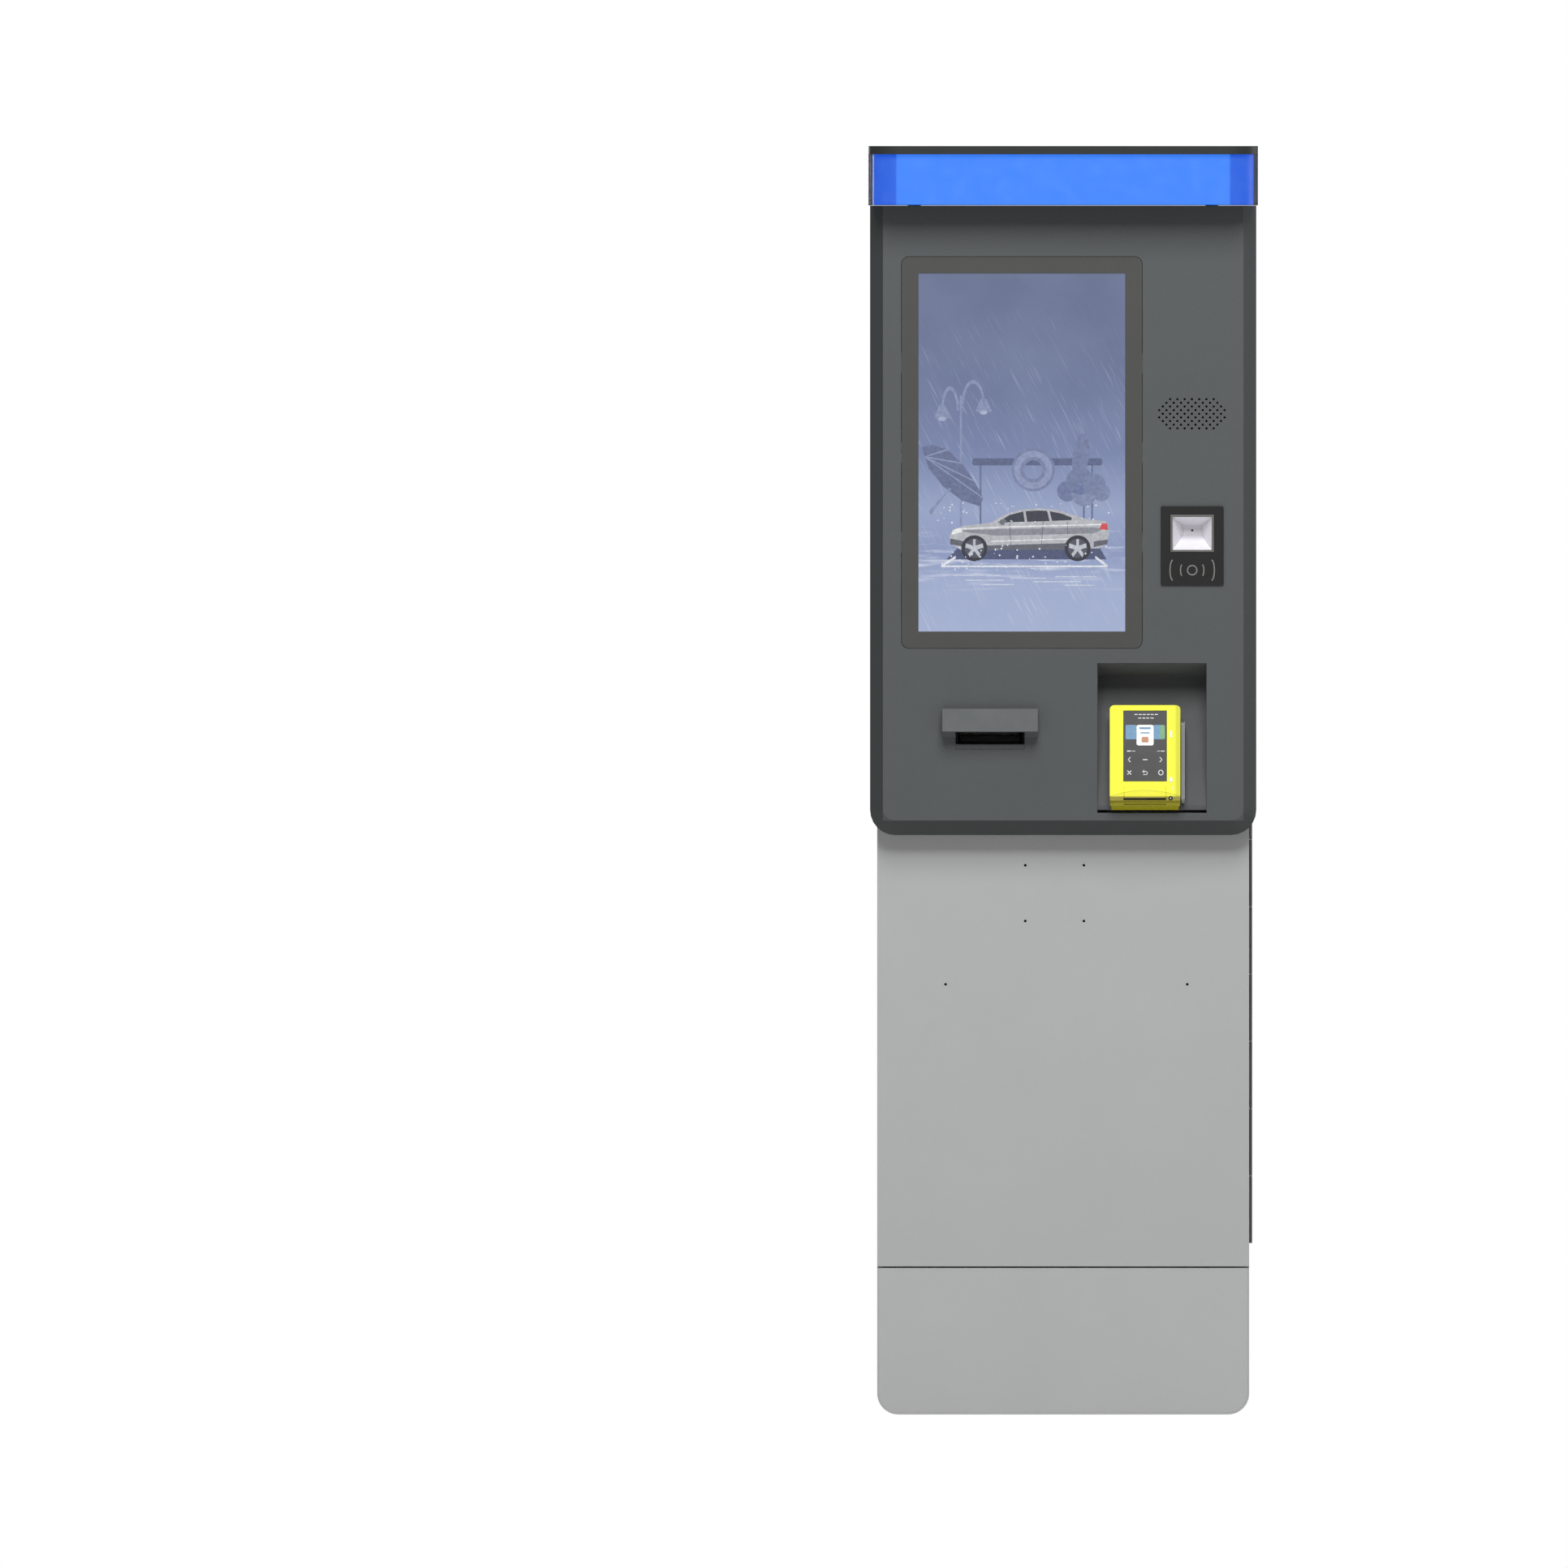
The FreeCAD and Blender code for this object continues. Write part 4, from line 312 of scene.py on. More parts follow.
# finishes of the CAD nodes and of the pieces that are added to them
finishes = {
    "cabinetPaint": finished("cabinetPaint", fromScreen(169, 170, 170), 0.42, grain=1400.0, wear=0.35),
    "doorPaint": finished("doorPaint", fromScreen(166, 167, 167), 0.42, grain=1400.0, wear=0.35),
    "headPaint": finished("headPaint", fromScreen(81, 84, 85), 0.5, grain=1100.0, cloud=0.10,
                          bump=0.00012, wear=0.25, wornColor=(0.30, 0.31, 0.31, 1), Specular_IOR_Level=0.2),
    "roofPaint": finished("roofPaint", fromScreen(44, 46, 46), 0.5, grain=1100.0, cloud=0.04, wear=0.2,
                          dust=0.08, wornColor=(0.32, 0.33, 0.33, 1), Specular_IOR_Level=0.2),
    "nichePaint": finished("nichePaint", fromScreen(82, 84, 85), 0.6, grain=1100.0, bump=0.0001, wear=0.1,
                           Specular_IOR_Level=0.15),
    "bezelBlack": finished("bezelBlack", fromScreen(74, 74, 73), 0.4, grain=2400.0, cloud=0.04,
                           bump=0.00001, wear=0.05, wornColor=(0.2, 0.2, 0.2, 1), Specular_IOR_Level=0.2),
    "mouldedBlack": finished("mouldedBlack", fromScreen(36, 36, 36), 0.45, grain=1800.0, cloud=0.1,
                             bump=0.00005, wear=0.2, wornColor=(0.12, 0.12, 0.12, 1), Specular_IOR_Level=0.2),
    "frameGrey": finished("frameGrey", fromScreen(96, 96, 94), 0.36, grain=1800.0, wear=0.2),
    "yellowShell": finished("yellowShell", fromScreen(240, 242, 52), 0.4, grain=2000.0, cloud=0.05,
                            bump=0.00002, wear=0.12, dust=0.05, wornColor=(0.75, 0.72, 0.25, 1),
                            Specular_IOR_Level=0.15),
    "oliveSkirt": finished("oliveSkirt", fromScreen(158, 152, 34), 0.3, grain=2000.0, cloud=0.08,
                           bump=0.00002, wear=0.1, wornColor=(0.5, 0.48, 0.12, 1), Specular_IOR_Level=0.2),
    "reflectorWhite": finished("reflectorWhite", fromScreen(226, 224, 230), 0.25, grain=900.0, cloud=0.04,
                               bump=0.00001, wear=0.0, dust=0.0),
    "sealRubber": finished("sealRubber", fromScreen(232, 232, 228), 0.6, grain=1500.0, bump=0.00008,
                           wear=0.0),
    "rollerRubber": finished("rollerRubber", fromScreen(38, 38, 38), 0.7, grain=1500.0, bump=0.0001,
                             wear=0.1),
    "thermalPaper": finished("thermalPaper", fromScreen(236, 236, 232), 0.75, grain=3000.0, wear=0.0,
                             dust=0.0),
    "filterFoam": finished("filterFoam", fromScreen(52, 54, 55), 0.95, grain=500.0, cloud=0.3, bump=0.0012,
                           wear=0.0),
    "whitePlastic": finished("whitePlastic", fromScreen(230, 230, 226), 0.4, grain=1800.0, wear=0.1),
    "boxPaint": finished("boxPaint", fromScreen(120, 124, 126), 0.4, grain=1200.0, wear=0.4),
    "zincSteel": metal("zincSteel", (0.62, 0.63, 0.64), 0.36),
    "hingeSteel": metal("hingeSteel", (0.16, 0.165, 0.17), 0.42),
    "brightSteel": metal("brightSteel", (0.82, 0.83, 0.84), 0.22),
    "circuitGreen": finished("circuitGreen", fromScreen(30, 84, 56), 0.35, grain=700.0, cloud=0.2,
                             wear=0.1),
    "screenDark": finished("screenDark", fromScreen(66, 65, 65), 0.3, grain=2600.0, cloud=0.03,
                           bump=0.000005, wear=0.0, dust=0.0, Specular_IOR_Level=0.1),
    "deepBlack": finished("deepBlack", fromScreen(22, 22, 23), 0.6, grain=1800.0, wear=0.05, dust=0.05,
                          wornColor=(0.05, 0.05, 0.05, 1), Specular_IOR_Level=0.15),
    "railGrey": finished("railGrey", fromScreen(150, 152, 154), 0.45, grain=1800.0, wear=0.3,
                         Specular_IOR_Level=0.25),
    "iconWhite": finished("iconWhite", fromScreen(226, 228, 228), 0.5, grain=2600.0, wear=0.0, dust=0.0),
}


# borders of the head: half width of its flat face, height of the face's foot, and how dark they are
bevels = {"inner": 0.2397, "low": 0.7906, "amount": 0.52, "soft": 0.0006, "color": (0.012, 0.014, 0.014, 1)}


def shadeBevels(material):
    # the sloping borders of the head catch less light than its face
    tree = material.node_tree
    shader = tree.nodes["Principled BSDF"]
    color = shader.inputs["Base Color"].links[0].from_socket
    split = tree.nodes.new("ShaderNodeSeparateXYZ")
    tree.links.new(tree.nodes.new("ShaderNodeTexCoord").outputs["Object"], split.inputs[0])
    beside = spread(tree, mathNode(tree, "ABSOLUTE", split.outputs["X"]), bevels["inner"],
                    bevels["inner"] + bevels["soft"])
    under = spread(tree, split.outputs["Z"], bevels["low"], bevels["low"] - bevels["soft"])
    shadedBorder = mathNode(tree, "MAXIMUM", beside, under)
    faceOn = tree.nodes.new("ShaderNodeSeparateXYZ")
    tree.links.new(tree.nodes.new("ShaderNodeTexCoord").outputs["Normal"], faceOn.inputs[0])
    flat = spread(tree, mathNode(tree, "ABSOLUTE", faceOn.outputs["Y"]), 0.99, 0.95)
    shade = mathNode(tree, "MULTIPLY", mathNode(tree, "MULTIPLY", shadedBorder, flat), bevels["amount"])
    tree.links.new(mixColor(tree, shade, color, bevels["color"]), shader.inputs["Base Color"])


# where the band's flat face ends and its rounded corner begins, from the middle, and so where its painted
# corner shade fades in
bandCornerShade = (0.2205, 0.2235)


def makeBandMaterial():
    # lit blue acrylic, a little uneven from the lamps behind, with painted shade: the blue is darker at the
    # two rounded corners
    material, tree, shader = newMaterial("litBlue", Roughness=0.4, Emission_Strength=0.93,
                                         Specular_IOR_Level=0.1)
    place = tree.nodes.new("ShaderNodeTexCoord").outputs["Object"]
    split = tree.nodes.new("ShaderNodeSeparateXYZ")
    tree.links.new(place, split.inputs[0])
    across = mathNode(tree, "ABSOLUTE", split.outputs["X"])
    # painted shade: a darker blue from where the rounded corners begin
    corner = spread(tree, across, *bandCornerShade)
    lamps = noiseNode(tree, place, 9.0, 2.0)
    even = spread(tree, lamps, 0.2, 0.8, 0.0, 0.10)
    face = mixColor(tree, even, (*fromScreen(48, 124, 248), 1), (*fromScreen(58, 131, 254), 1))
    color = mixColor(tree, corner, face, (*fromScreen(0, 78, 214), 1))
    shader.inputs["Base Color"].default_value = (0.01, 0.03, 0.10, 1)
    tree.links.new(color, shader.inputs["Emission Color"])
    return material


def makeClearMaterial():
    # clear sheet: a little haze and fine scratches
    material, tree, shader = newMaterial("clearSheet", IOR=1.49, Specular_IOR_Level=0.3)
    shader.inputs["Base Color"].default_value = (0.45, 0.66, 1.0, 1)
    place = tree.nodes.new("ShaderNodeTexCoord").outputs["Object"]
    haze = noiseNode(tree, place, 55.0, 5.0)
    tree.links.new(spread(tree, haze, 0.3, 0.7, 0.06, 0.16), shader.inputs["Roughness"])
    tree.links.new(spread(tree, haze, 0.3, 0.8, 0.02, 0.045), shader.inputs["Alpha"])
    return material


def makePictureMaterial():
    # the screen at rest: a rainy sky over a wet floor, brighter towards the bottom
    low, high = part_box("display_glass")
    material, tree, shader = newMaterial("pictureGlow", Roughness=0.3, Emission_Strength=0.9,
                                         Specular_IOR_Level=0.12)
    shader.inputs["Base Color"].default_value = (0.012, 0.014, 0.02, 1)
    place = tree.nodes.new("ShaderNodeTexCoord").outputs["Object"]
    split = tree.nodes.new("ShaderNodeSeparateXYZ")
    tree.links.new(place, split.inputs[0])
    height = spread(tree, split.outputs["Z"], low.z, high.z)
    ramp = tree.nodes.new("ShaderNodeValToRGB")
    stops = ((0.0, (172, 184, 216)), (0.14, (168, 180, 213)), (0.22, (146, 158, 196)),
             (0.34, (158, 170, 204)), (0.50, (124, 136, 174)), (0.68, (112, 122, 156)),
             (1.0, (108, 117, 147)))
    elements = ramp.color_ramp.elements
    for index, (share, color) in enumerate(stops):
        stop = elements[index] if index < 2 else elements.new(share)
        stop.position = share
        stop.color = (*fromScreen(*color), 1)
    tree.links.new(height, ramp.inputs[0])
    lean = tree.nodes.new("ShaderNodeMapping")
    lean.inputs["Rotation"].default_value = (0, math.radians(27), 0)
    tree.links.new(place, lean.inputs["Vector"])
    stretch = tree.nodes.new("ShaderNodeMapping")
    stretch.inputs["Scale"].default_value = (520.0, 1.0, 22.0)
    tree.links.new(lean.outputs[0], stretch.inputs["Vector"])
    streaks = noiseNode(tree, stretch.outputs[0], 1.0, 1.0)
    drops = spread(tree, streaks, 0.60, 0.78, 0.0, 0.34)
    veil = mathNode(tree, "MULTIPLY", drops, spread(tree, height, 0.95, 0.45))
    clouds = noiseNode(tree, place, 11.0, 4.0)
    sky = mixColor(tree, spread(tree, clouds, 0.35, 0.75, 0.0, 0.20), ramp.outputs[0],
                   (*fromScreen(150, 162, 196), 1))
    color = mixColor(tree, veil, sky, (*fromScreen(214, 222, 240), 1))
    wetMap = tree.nodes.new("ShaderNodeMapping")
    wetMap.inputs["Scale"].default_value = (14.0, 1.0, 150.0)
    tree.links.new(place, wetMap.inputs["Vector"])
    ripples = noiseNode(tree, wetMap.outputs[0], 1.0, 4.0)
    floorPart = mathNode(tree, "MULTIPLY", spread(tree, height, 0.30, 0.22),
                         spread(tree, height, 0.10, 0.18))
    wet = mathNode(tree, "MULTIPLY", spread(tree, ripples, 0.52, 0.70, 0.0, 0.75), floorPart)
    color = mixColor(tree, wet, color, (*fromScreen(226, 232, 246), 1))
    tree.links.new(color, shader.inputs["Emission Color"])
    return material


def glowing(name, color, strength):
    # a lit tone with fine uneven shading, for the picture, the terminal's screen and the canopy's strips
    material, tree, shader = newMaterial(name, Roughness=0.4, Emission_Strength=strength)
    shader.inputs["Base Color"].default_value = (0.01, 0.01, 0.012, 1)
    place = tree.nodes.new("ShaderNodeTexCoord").outputs["Object"]
    shade = noiseNode(tree, place, 240.0, 4.0)
    darker = tuple(channel * 0.72 for channel in fromScreen(*color))
    tree.links.new(mixColor(tree, spread(tree, shade, 0.3, 0.7), (*darker, 1), (*fromScreen(*color), 1)),
                   shader.inputs["Emission Color"])
    return material


# card terminal: its foot and arched lip, the tilt and place of its front, and the marks on it
terminal = {
    "archDrop": 0.008,
    "footTall": 0.0085,
    "edgeSoft": 0.0006,
    "lipSoft": 0.0003,
    "lipLine": 0.0002,
    "tilt": 17.4,
    "corner": (0.109, 0.8166),
    "proud": 0.0204,
    "lift": 0.00025,
    "screenTop": 0.00035,
    "screenMark": 0.0002,
    "shellLift": 0.0005,
    "shellStep": 0.0001,
    "shellMark": 0.0003,
}


def shadeTerminal(material):
    # a clear arched lip over an olive foot, and painted shade on the sculpted border at the right, which is
    # darkened towards olive
    low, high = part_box("terminal_front")
    tree = material.node_tree
    shader = tree.nodes["Principled BSDF"]
    color = shader.inputs["Base Color"].links[0].from_socket
    split = tree.nodes.new("ShaderNodeSeparateXYZ")
    tree.links.new(tree.nodes.new("ShaderNodeTexCoord").outputs["Object"], split.inputs[0])
    middle, half = (low.x + high.x) / 2, (high.x - low.x) / 2
    off = mathNode(tree, "SUBTRACT", split.outputs["X"], middle)
    share = mathNode(tree, "DIVIDE", off, half)
    drop = mathNode(tree, "MULTIPLY", mathNode(tree, "MULTIPLY", share, share), terminal["archDrop"])
    arch = mathNode(tree, "ADD", split.outputs["Z"], drop)
    top = low.z + terminal["footTall"] + terminal["archDrop"]
    soft, lipSoft = terminal["edgeSoft"], terminal["lipSoft"]
    lip = spread(tree, arch, top + lipSoft, top - lipSoft, 0.0, 0.55)
    line = mathNode(tree, "ABSOLUTE", mathNode(tree, "SUBTRACT", arch, top))
    color = mixColor(tree, lip, color, (*fromScreen(214, 204, 40), 1))
    edge = spread(tree, line, soft, terminal["lipLine"], 0.0, 0.6)
    color = mixColor(tree, edge, color, (*fromScreen(150, 144, 40), 1))
    footTop = low.z + terminal["footTall"]
    foot = spread(tree, split.outputs["Z"], footTop + soft, footTop - soft)
    color = mixColor(tree, foot, color, (*fromScreen(136, 128, 26), 1))
    # painted shade: the right border is darkened to stand for the shade of its sculpted groove
    shadedBorder = spread(tree, share, 0.80, 0.90, 0.0, 0.42)
    color = mixColor(tree, shadedBorder, color, (*fromScreen(132, 130, 36), 1))
    tree.links.new(color, shader.inputs["Base Color"])


shadeBevels(finishes["headPaint"])
shadeTerminal(finishes["yellowShell"])
finishes["litBlue"] = makeBandMaterial()
finishes["clearSheet"] = makeClearMaterial()
finishes["pictureGlow"] = makePictureMaterial()
finishes["lampWhite"] = glowing("lampWhite", (250, 250, 255), 1.0)

nodeFinish = {
    "cabinetPaint": ["cabinet_shell", "plinth_plates", "plinth_shelf", "top_panel", "door_frames"],
    "doorPaint": ["front_door_pan", "rear_door_pan"],
    "headPaint": ["head_panel", "receipt_hood"],
    "roofPaint": ["canopy_roof", "canopy_soffit"],
    "nichePaint": ["terminal_niche"],
    "litBlue": ["canopy_light_band"],
    "clearSheet": ["canopy_clear_cover"],
    "lampWhite": ["canopy_led_strips"],
    "bezelBlack": ["display_bezel"],
    "pictureGlow": ["display_glass"],
    "mouldedBlack": ["scanner_body", "scanner_camera", "fan_frames",
                     "fan_impeller_lower", "fan_impeller_upper", "circuit_breaker", "rod_guides",
                     "cable_gland"],
    "frameGrey": ["scanner_window_frame"],
    "reflectorWhite": ["scanner_reflector"],
    "yellowShell": ["terminal_front", "terminal_lip"],
    "oliveSkirt": ["terminal_case", "terminal_back"],
    "deepBlack": ["speaker", "printer_frame"],
    "railGrey": ["terminal_rail"],
    "screenDark": ["terminal_screen"],
    "brightSteel": ["hinge_pins", "motor_pinion", "lock_cam"],
    "sealRubber": ["door_seals"],
    "rollerRubber": ["platen_roller"],
    "thermalPaper": ["paper_roll"],
    "filterFoam": ["intake_filter"],
    "whitePlastic": ["breaker_toggle"],
    "boxPaint": ["power_supply", "controller_box", "display_electronics"],
    "hingeSteel": ["hinge_fixed_leaves", "front_hinge_moving_leaf", "rear_hinge_moving_leaf"],
    "zincSteel": ["base_plate", "canopy_fixings", "display_panel", "display_clamps",
                  "printer_motor", "equipment_plate", "din_rail", "fan_guards", "lock_case",
                  "latch_rod_upper", "latch_rod_lower"],
}


def finishNodes():
    left = set(nodes)
    for finish, names in nodeFinish.items():
        for name in names:
            mesh = nodes[name].data
            mesh.materials.clear()
            mesh.materials.append(finishes[finish])
            left.discard(name)
    print("finished nodes, left over:", sorted(left))


finishNodes()


# mesh helpers
def meshPiece(name, mesh, finish, body):
    piece = bpy.data.objects.new(name, mesh)
    scene.collection.objects.link(piece)
    if not mesh.materials:
        mesh.materials.append(finishes[finish])
    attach(piece, body)
    return piece


def extruded(loops, depth, transform):
    # flat outlines in (across, up), given depth towards the back and placed by a matrix
    form = bmesh.new()
    for loop in loops:
        near = [form.verts.new(transform @ Vector((across, 0, up))) for across, up in loop]
        far = [form.verts.new(transform @ Vector((across, depth, up))) for across, up in loop]
        form.faces.new(near)
        form.faces.new(list(reversed(far)))
        for index in range(len(loop)):
            after = (index + 1) % len(loop)
            form.faces.new((near[after], near[index], far[index], far[after]))
    bmesh.ops.recalc_face_normals(form, faces=form.faces)
    mesh = bpy.data.meshes.new("outline")
    form.to_mesh(mesh)
    form.free()
    return mesh


def arcPoints(centre, radius, start, end, steps, tall=1.0):
    angles = [math.radians(start + (end - start) * step / steps) for step in range(steps + 1)]
    return [(centre[0] + radius * math.cos(a), centre[1] + radius * tall * math.sin(a)) for a in angles]


def stroke(points, width):
    # a band of even width along an open line
    left, right = [], []
    for index, point in enumerate(points):
        before = points[max(index - 1, 0)]
        after = points[min(index + 1, len(points) - 1)]
        run = Vector((after[0] - before[0], after[1] - before[1])).normalized()
        side = Vector((-run.y, run.x)) * width / 2
        left.append((point[0] + side.x, point[1] + side.y))
        right.append((point[0] - side.x, point[1] - side.y))
    return left + right[::-1]


def ringStrips(centre, radius, width, tall=1.0):
    # a closed ring as two half bands, so that each outline stays simple
    return [stroke(arcPoints(centre, radius, start, start + 180, 24, tall), width) for start in (0, 180)]


def roundedBar(low, high, radius):
    corners = ((high[0] - radius, high[1] - radius, 0), (low[0] + radius, high[1] - radius, 90),
               (low[0] + radius, low[1] + radius, 180), (high[0] - radius, low[1] + radius, 270))
    points = []
    for x, z, turn in corners:
        points += arcPoints((x, z), radius, turn, turn + 90, 5)
    return points


def frontPlace(y):
    return Matrix.Translation((0, y, 0))


# the picture on the display, in shares of the screen's width and height
picture = {
    "lift": 0.0002,
    "thickness": 0.00015,
    "glow": 0.9,
    "carLeft": 0.15,
    "carRight": 0.925,
    "ground": 0.212,
    "carTall": 0.132,
    "wheelSize": 0.063,
    "wheelPlaces": (0.155, 0.80),
    "spokes": 5,
    "ringCentre": (0.555, 0.452),
    "splashSeed": 7,
    "splashCount": 90,
}
screenLow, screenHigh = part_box("display_glass")
screenWide = screenHigh.x - screenLow.x
screenTall = screenHigh.z - screenLow.z
screenRatio = screenWide / screenTall


def around(centre, radius, ratio, step=12, start=0, end=360):
    # an ellipse or a part of one; the ratio is its height for a width of one
    angles = [math.radians(turn) for turn in range(start, end, step)]
    return [(centre[0] + radius * math.cos(a), centre[1] + radius * ratio * math.sin(a)) for a in angles]


def paint(name, loops, color, layer):
    # one tone of the picture, on a thin layer of its own
    label = f"tone{name}"
    finishes[label] = glowing(label, color, picture["glow"])
    placed = [[(screenLow.x + screenWide * across, screenLow.z + screenTall * up) for across, up in loop]
              for loop in loops]
    depth = screenLow.y - picture["lift"] * (layer + 1)
    mesh = extruded(placed, picture["thickness"], frontPlace(depth))
    meshPiece(f"picture{name}", mesh, label, "front_door")


def onCar(points):
    # from shares of the car's length and height to shares of the screen
    left, span = picture["carLeft"], picture["carRight"] - picture["carLeft"]
    return [(left + span * across, picture["ground"] + picture["carTall"] * up) for across, up in points]


def paintBay():
    # outline of the wet bay, the shadow under the car and what the floor mirrors
    left, right, ground = picture["carLeft"], picture["carRight"], picture["ground"]
    span = right - left
    bayLow, bayHigh = ground - 0.030, ground - 0.004
    paint("Bay", [stroke([(left - 0.04, bayLow), (right - 0.01, bayLow)], 0.0045),
                  stroke([(left - 0.04, bayLow), (left + 0.03, bayHigh)], 0.007),
                  stroke([(right - 0.01, bayLow), (right - 0.07, bayHigh)], 0.007)], (240, 244, 250), 1)
    paint("Shadow", [onCar([(-0.02, -0.08), (0.98, -0.08), (0.94, 0.16), (0.05, 0.16)])], (84, 93, 128), 0)
    # each line's start and length along the car, and how far below the first it lies
    lines = ((0.02, 0.30, 0.0), (0.38, 0.22, 0.008), (0.10, 0.24, 0.014), (0.66, 0.26, 0.004),
             (0.52, 0.30, 0.018), (0.20, 0.2, 0.026), (0.72, 0.18, 0.028))
    mirrored = []
    for start, long, drop in lines:
        up = ground - 0.055 - drop
        mirrored.append(stroke([(left + span * start, up), (left + span * (start + long), up)], 0.003))
    paint("Wet", mirrored, (214, 222, 240), 0)


def paintCar():
    paint("Car", [onCar([(0.005, 0.26), (0.0, 0.42), (0.02, 0.55), (0.09, 0.63), (0.26, 0.70),
                         (0.34, 0.86), (0.44, 0.97), (0.56, 1.0), (0.68, 0.965), (0.80, 0.83),
                         (0.87, 0.76), (0.975, 0.73), (0.99, 0.66), (0.995, 0.44), (0.985, 0.24),
                         (0.93, 0.15), (0.07, 0.12)])], (196, 198, 204), 2)
    paint("Sill", [onCar([(0.20, 0.12), (0.80, 0.12), (0.80, 0.27), (0.20, 0.21)]),
                   onCar([(0.005, 0.24), (0.10, 0.18), (0.10, 0.30), (0.005, 0.36)]),
                   onCar([(0.90, 0.18), (0.985, 0.24), (0.99, 0.34), (0.90, 0.30)])], (104, 106, 118), 3)
    paint("Flank", [onCar([(0.02, 0.53), (0.30, 0.56), (0.90, 0.60), (0.97, 0.58), (0.90, 0.47),
                           (0.30, 0.42)])], (150, 152, 162), 3)
    paint("Crease", [stroke(onCar([(0.04, 0.56), (0.38, 0.61), (0.96, 0.66)]), 0.0035),
                     stroke(onCar([(0.26, 0.30), (0.80, 0.36)]), 0.0028)], (244, 246, 250), 4)
    seams = [[(0.385, 0.22), (0.375, 0.68)], [(0.575, 0.24), (0.585, 0.72)], [(0.74, 0.46), (0.735, 0.70)]]
    paint("Seams", [stroke(onCar(seam), 0.003) for seam in seams], (96, 98, 110), 4)
    paint("Panes", [onCar([(0.30, 0.70), (0.375, 0.86), (0.46, 0.935), (0.47, 0.715)]),
                    onCar([(0.485, 0.715), (0.475, 0.94), (0.56, 0.955), (0.61, 0.945), (0.625, 0.73)]),
                    onCar([(0.64, 0.735), (0.625, 0.94), (0.70, 0.89), (0.765, 0.80), (0.76, 0.75)])],
          (62, 66, 78), 4)
    paint("TailLamp", [onCar([(0.935, 0.56), (0.99, 0.54), (0.985, 0.68), (0.95, 0.68)])], (226, 84, 90), 5)
    paint("HeadLamp", [onCar([(0.01, 0.44), (0.085, 0.50), (0.07, 0.58), (0.03, 0.55)])], (252, 252, 252), 5)
    paint("Mirror", [around(onCar([(0.335, 0.71)])[0], 0.018, screenRatio * 0.8)], (120, 122, 132), 5)


def paintWheels():
    tyres, rims, spokes = [], [], []
    size = picture["wheelSize"]
    for centre in onCar([(share, 0.155) for share in picture["wheelPlaces"]]):
        tyres.append(around(centre, size, screenRatio))
        rims.append(around(centre, size * 0.74, screenRatio))
        for spoke in range(picture["spokes"]):
            angle = math.radians(90 + 360 / picture["spokes"] * spoke)
            tip = (centre[0] + size * 0.70 * math.cos(angle),
                   centre[1] + size * 0.70 * screenRatio * math.sin(angle))
            spokes.append(stroke([centre, tip], 0.012))
    paint("Tyres", tyres, (50, 52, 64), 5)
    paint("Rims", rims, (88, 92, 106), 6)
    paint("Spokes", spokes, (208, 210, 220), 7)


def paintStreetLamp():
    # a post with an arm to each side, a bell shade at each end
    outlines = []
    for base, way, height, reach in ((0.19, -1, 0.618, 0.075), (0.215, 1, 0.636, 0.10)):
        arch = [(base + way * reach / 2 * (1 - math.cos(math.radians(a))),
                 height + 0.062 * math.sin(math.radians(a))) for a in range(0, 181, 15)]
        outlines.append(stroke(arch, 0.011))
        across = base + way * reach
        bell = ((-0.014, 0.014), (0.014, 0.014), (0.030, -0.008), (0.042, -0.022), (-0.042, -0.022),
                (-0.030, -0.008))
        outlines.append([(across + aside, height + up) for aside, up in bell])
    outlines.append(stroke([(0.205, 0.25), (0.205, 0.66)], 0.010))
    paint("StreetLamp", outlines, (146, 157, 194), 0)
    bulbs = [around(centre, 0.020, screenRatio * 0.5) for centre in ((0.115, 0.594), (0.315, 0.612))]
    paint("Lamps", bulbs, (178, 188, 216), 1)


def cutCornerBar(low, high, corner):
    return [(low[0], low[1] + corner), (low[0] + corner, low[1]),
            (high[0] - corner, low[1]), (high[0], low[1] + corner),
            (high[0], high[1] - corner), (high[0] - corner, high[1]),
            (low[0] + corner, high[1]), (low[0], high[1] - corner)]


def paintShelter():
    # beam and posts, with a ring, a loaf and a cloud on them
    paint("Beam", [cutCornerBar((0.26, 0.464), (0.89, 0.484), 0.006)], (98, 108, 146), 0)
    posts = [stroke([(across, foot), (across, 0.466)], 0.009)
             for across, foot in ((0.30, 0.24), (0.80, 0.30), (0.84, 0.30))]
    paint("Posts", posts, (112, 122, 160), 0)
    rings = (("Ring", 0.105, 0.045, (130, 141, 180), 1), ("RingLight", 0.092, 0.062, (152, 163, 200), 2))
    for name, outer, inner, color, layer in rings:
        halves = []
        for start in (0, 180):
            rim = around(picture["ringCentre"], outer, screenRatio, 12, start, start + 181)
            hole = around(picture["ringCentre"], inner, screenRatio, 12, start, start + 181)
            halves.append(rim + hole[::-1])
        paint(name, halves, color, layer)
    centre, lean = (0.785, 0.49), 0.20
    loaf = [(x + lean * (z - centre[1]), z) for x, z in around(centre, 0.040, screenRatio * 2.8)]
    paint("Loaf", [loaf], (126, 137, 176), 1)
    puffs = ((0.72, 0.392, 0.050), (0.78, 0.420, 0.066), (0.85, 0.410, 0.055), (0.885, 0.388, 0.042),
             (0.80, 0.384, 0.060))
    for order, (x, z, size) in enumerate(puffs):
        paint(f"Cloud{order}", [around((x, z), size, screenRatio)],
              (118 + 5 * order, 130 + 5 * order, 170 + 4 * order), 2 + order % 3)


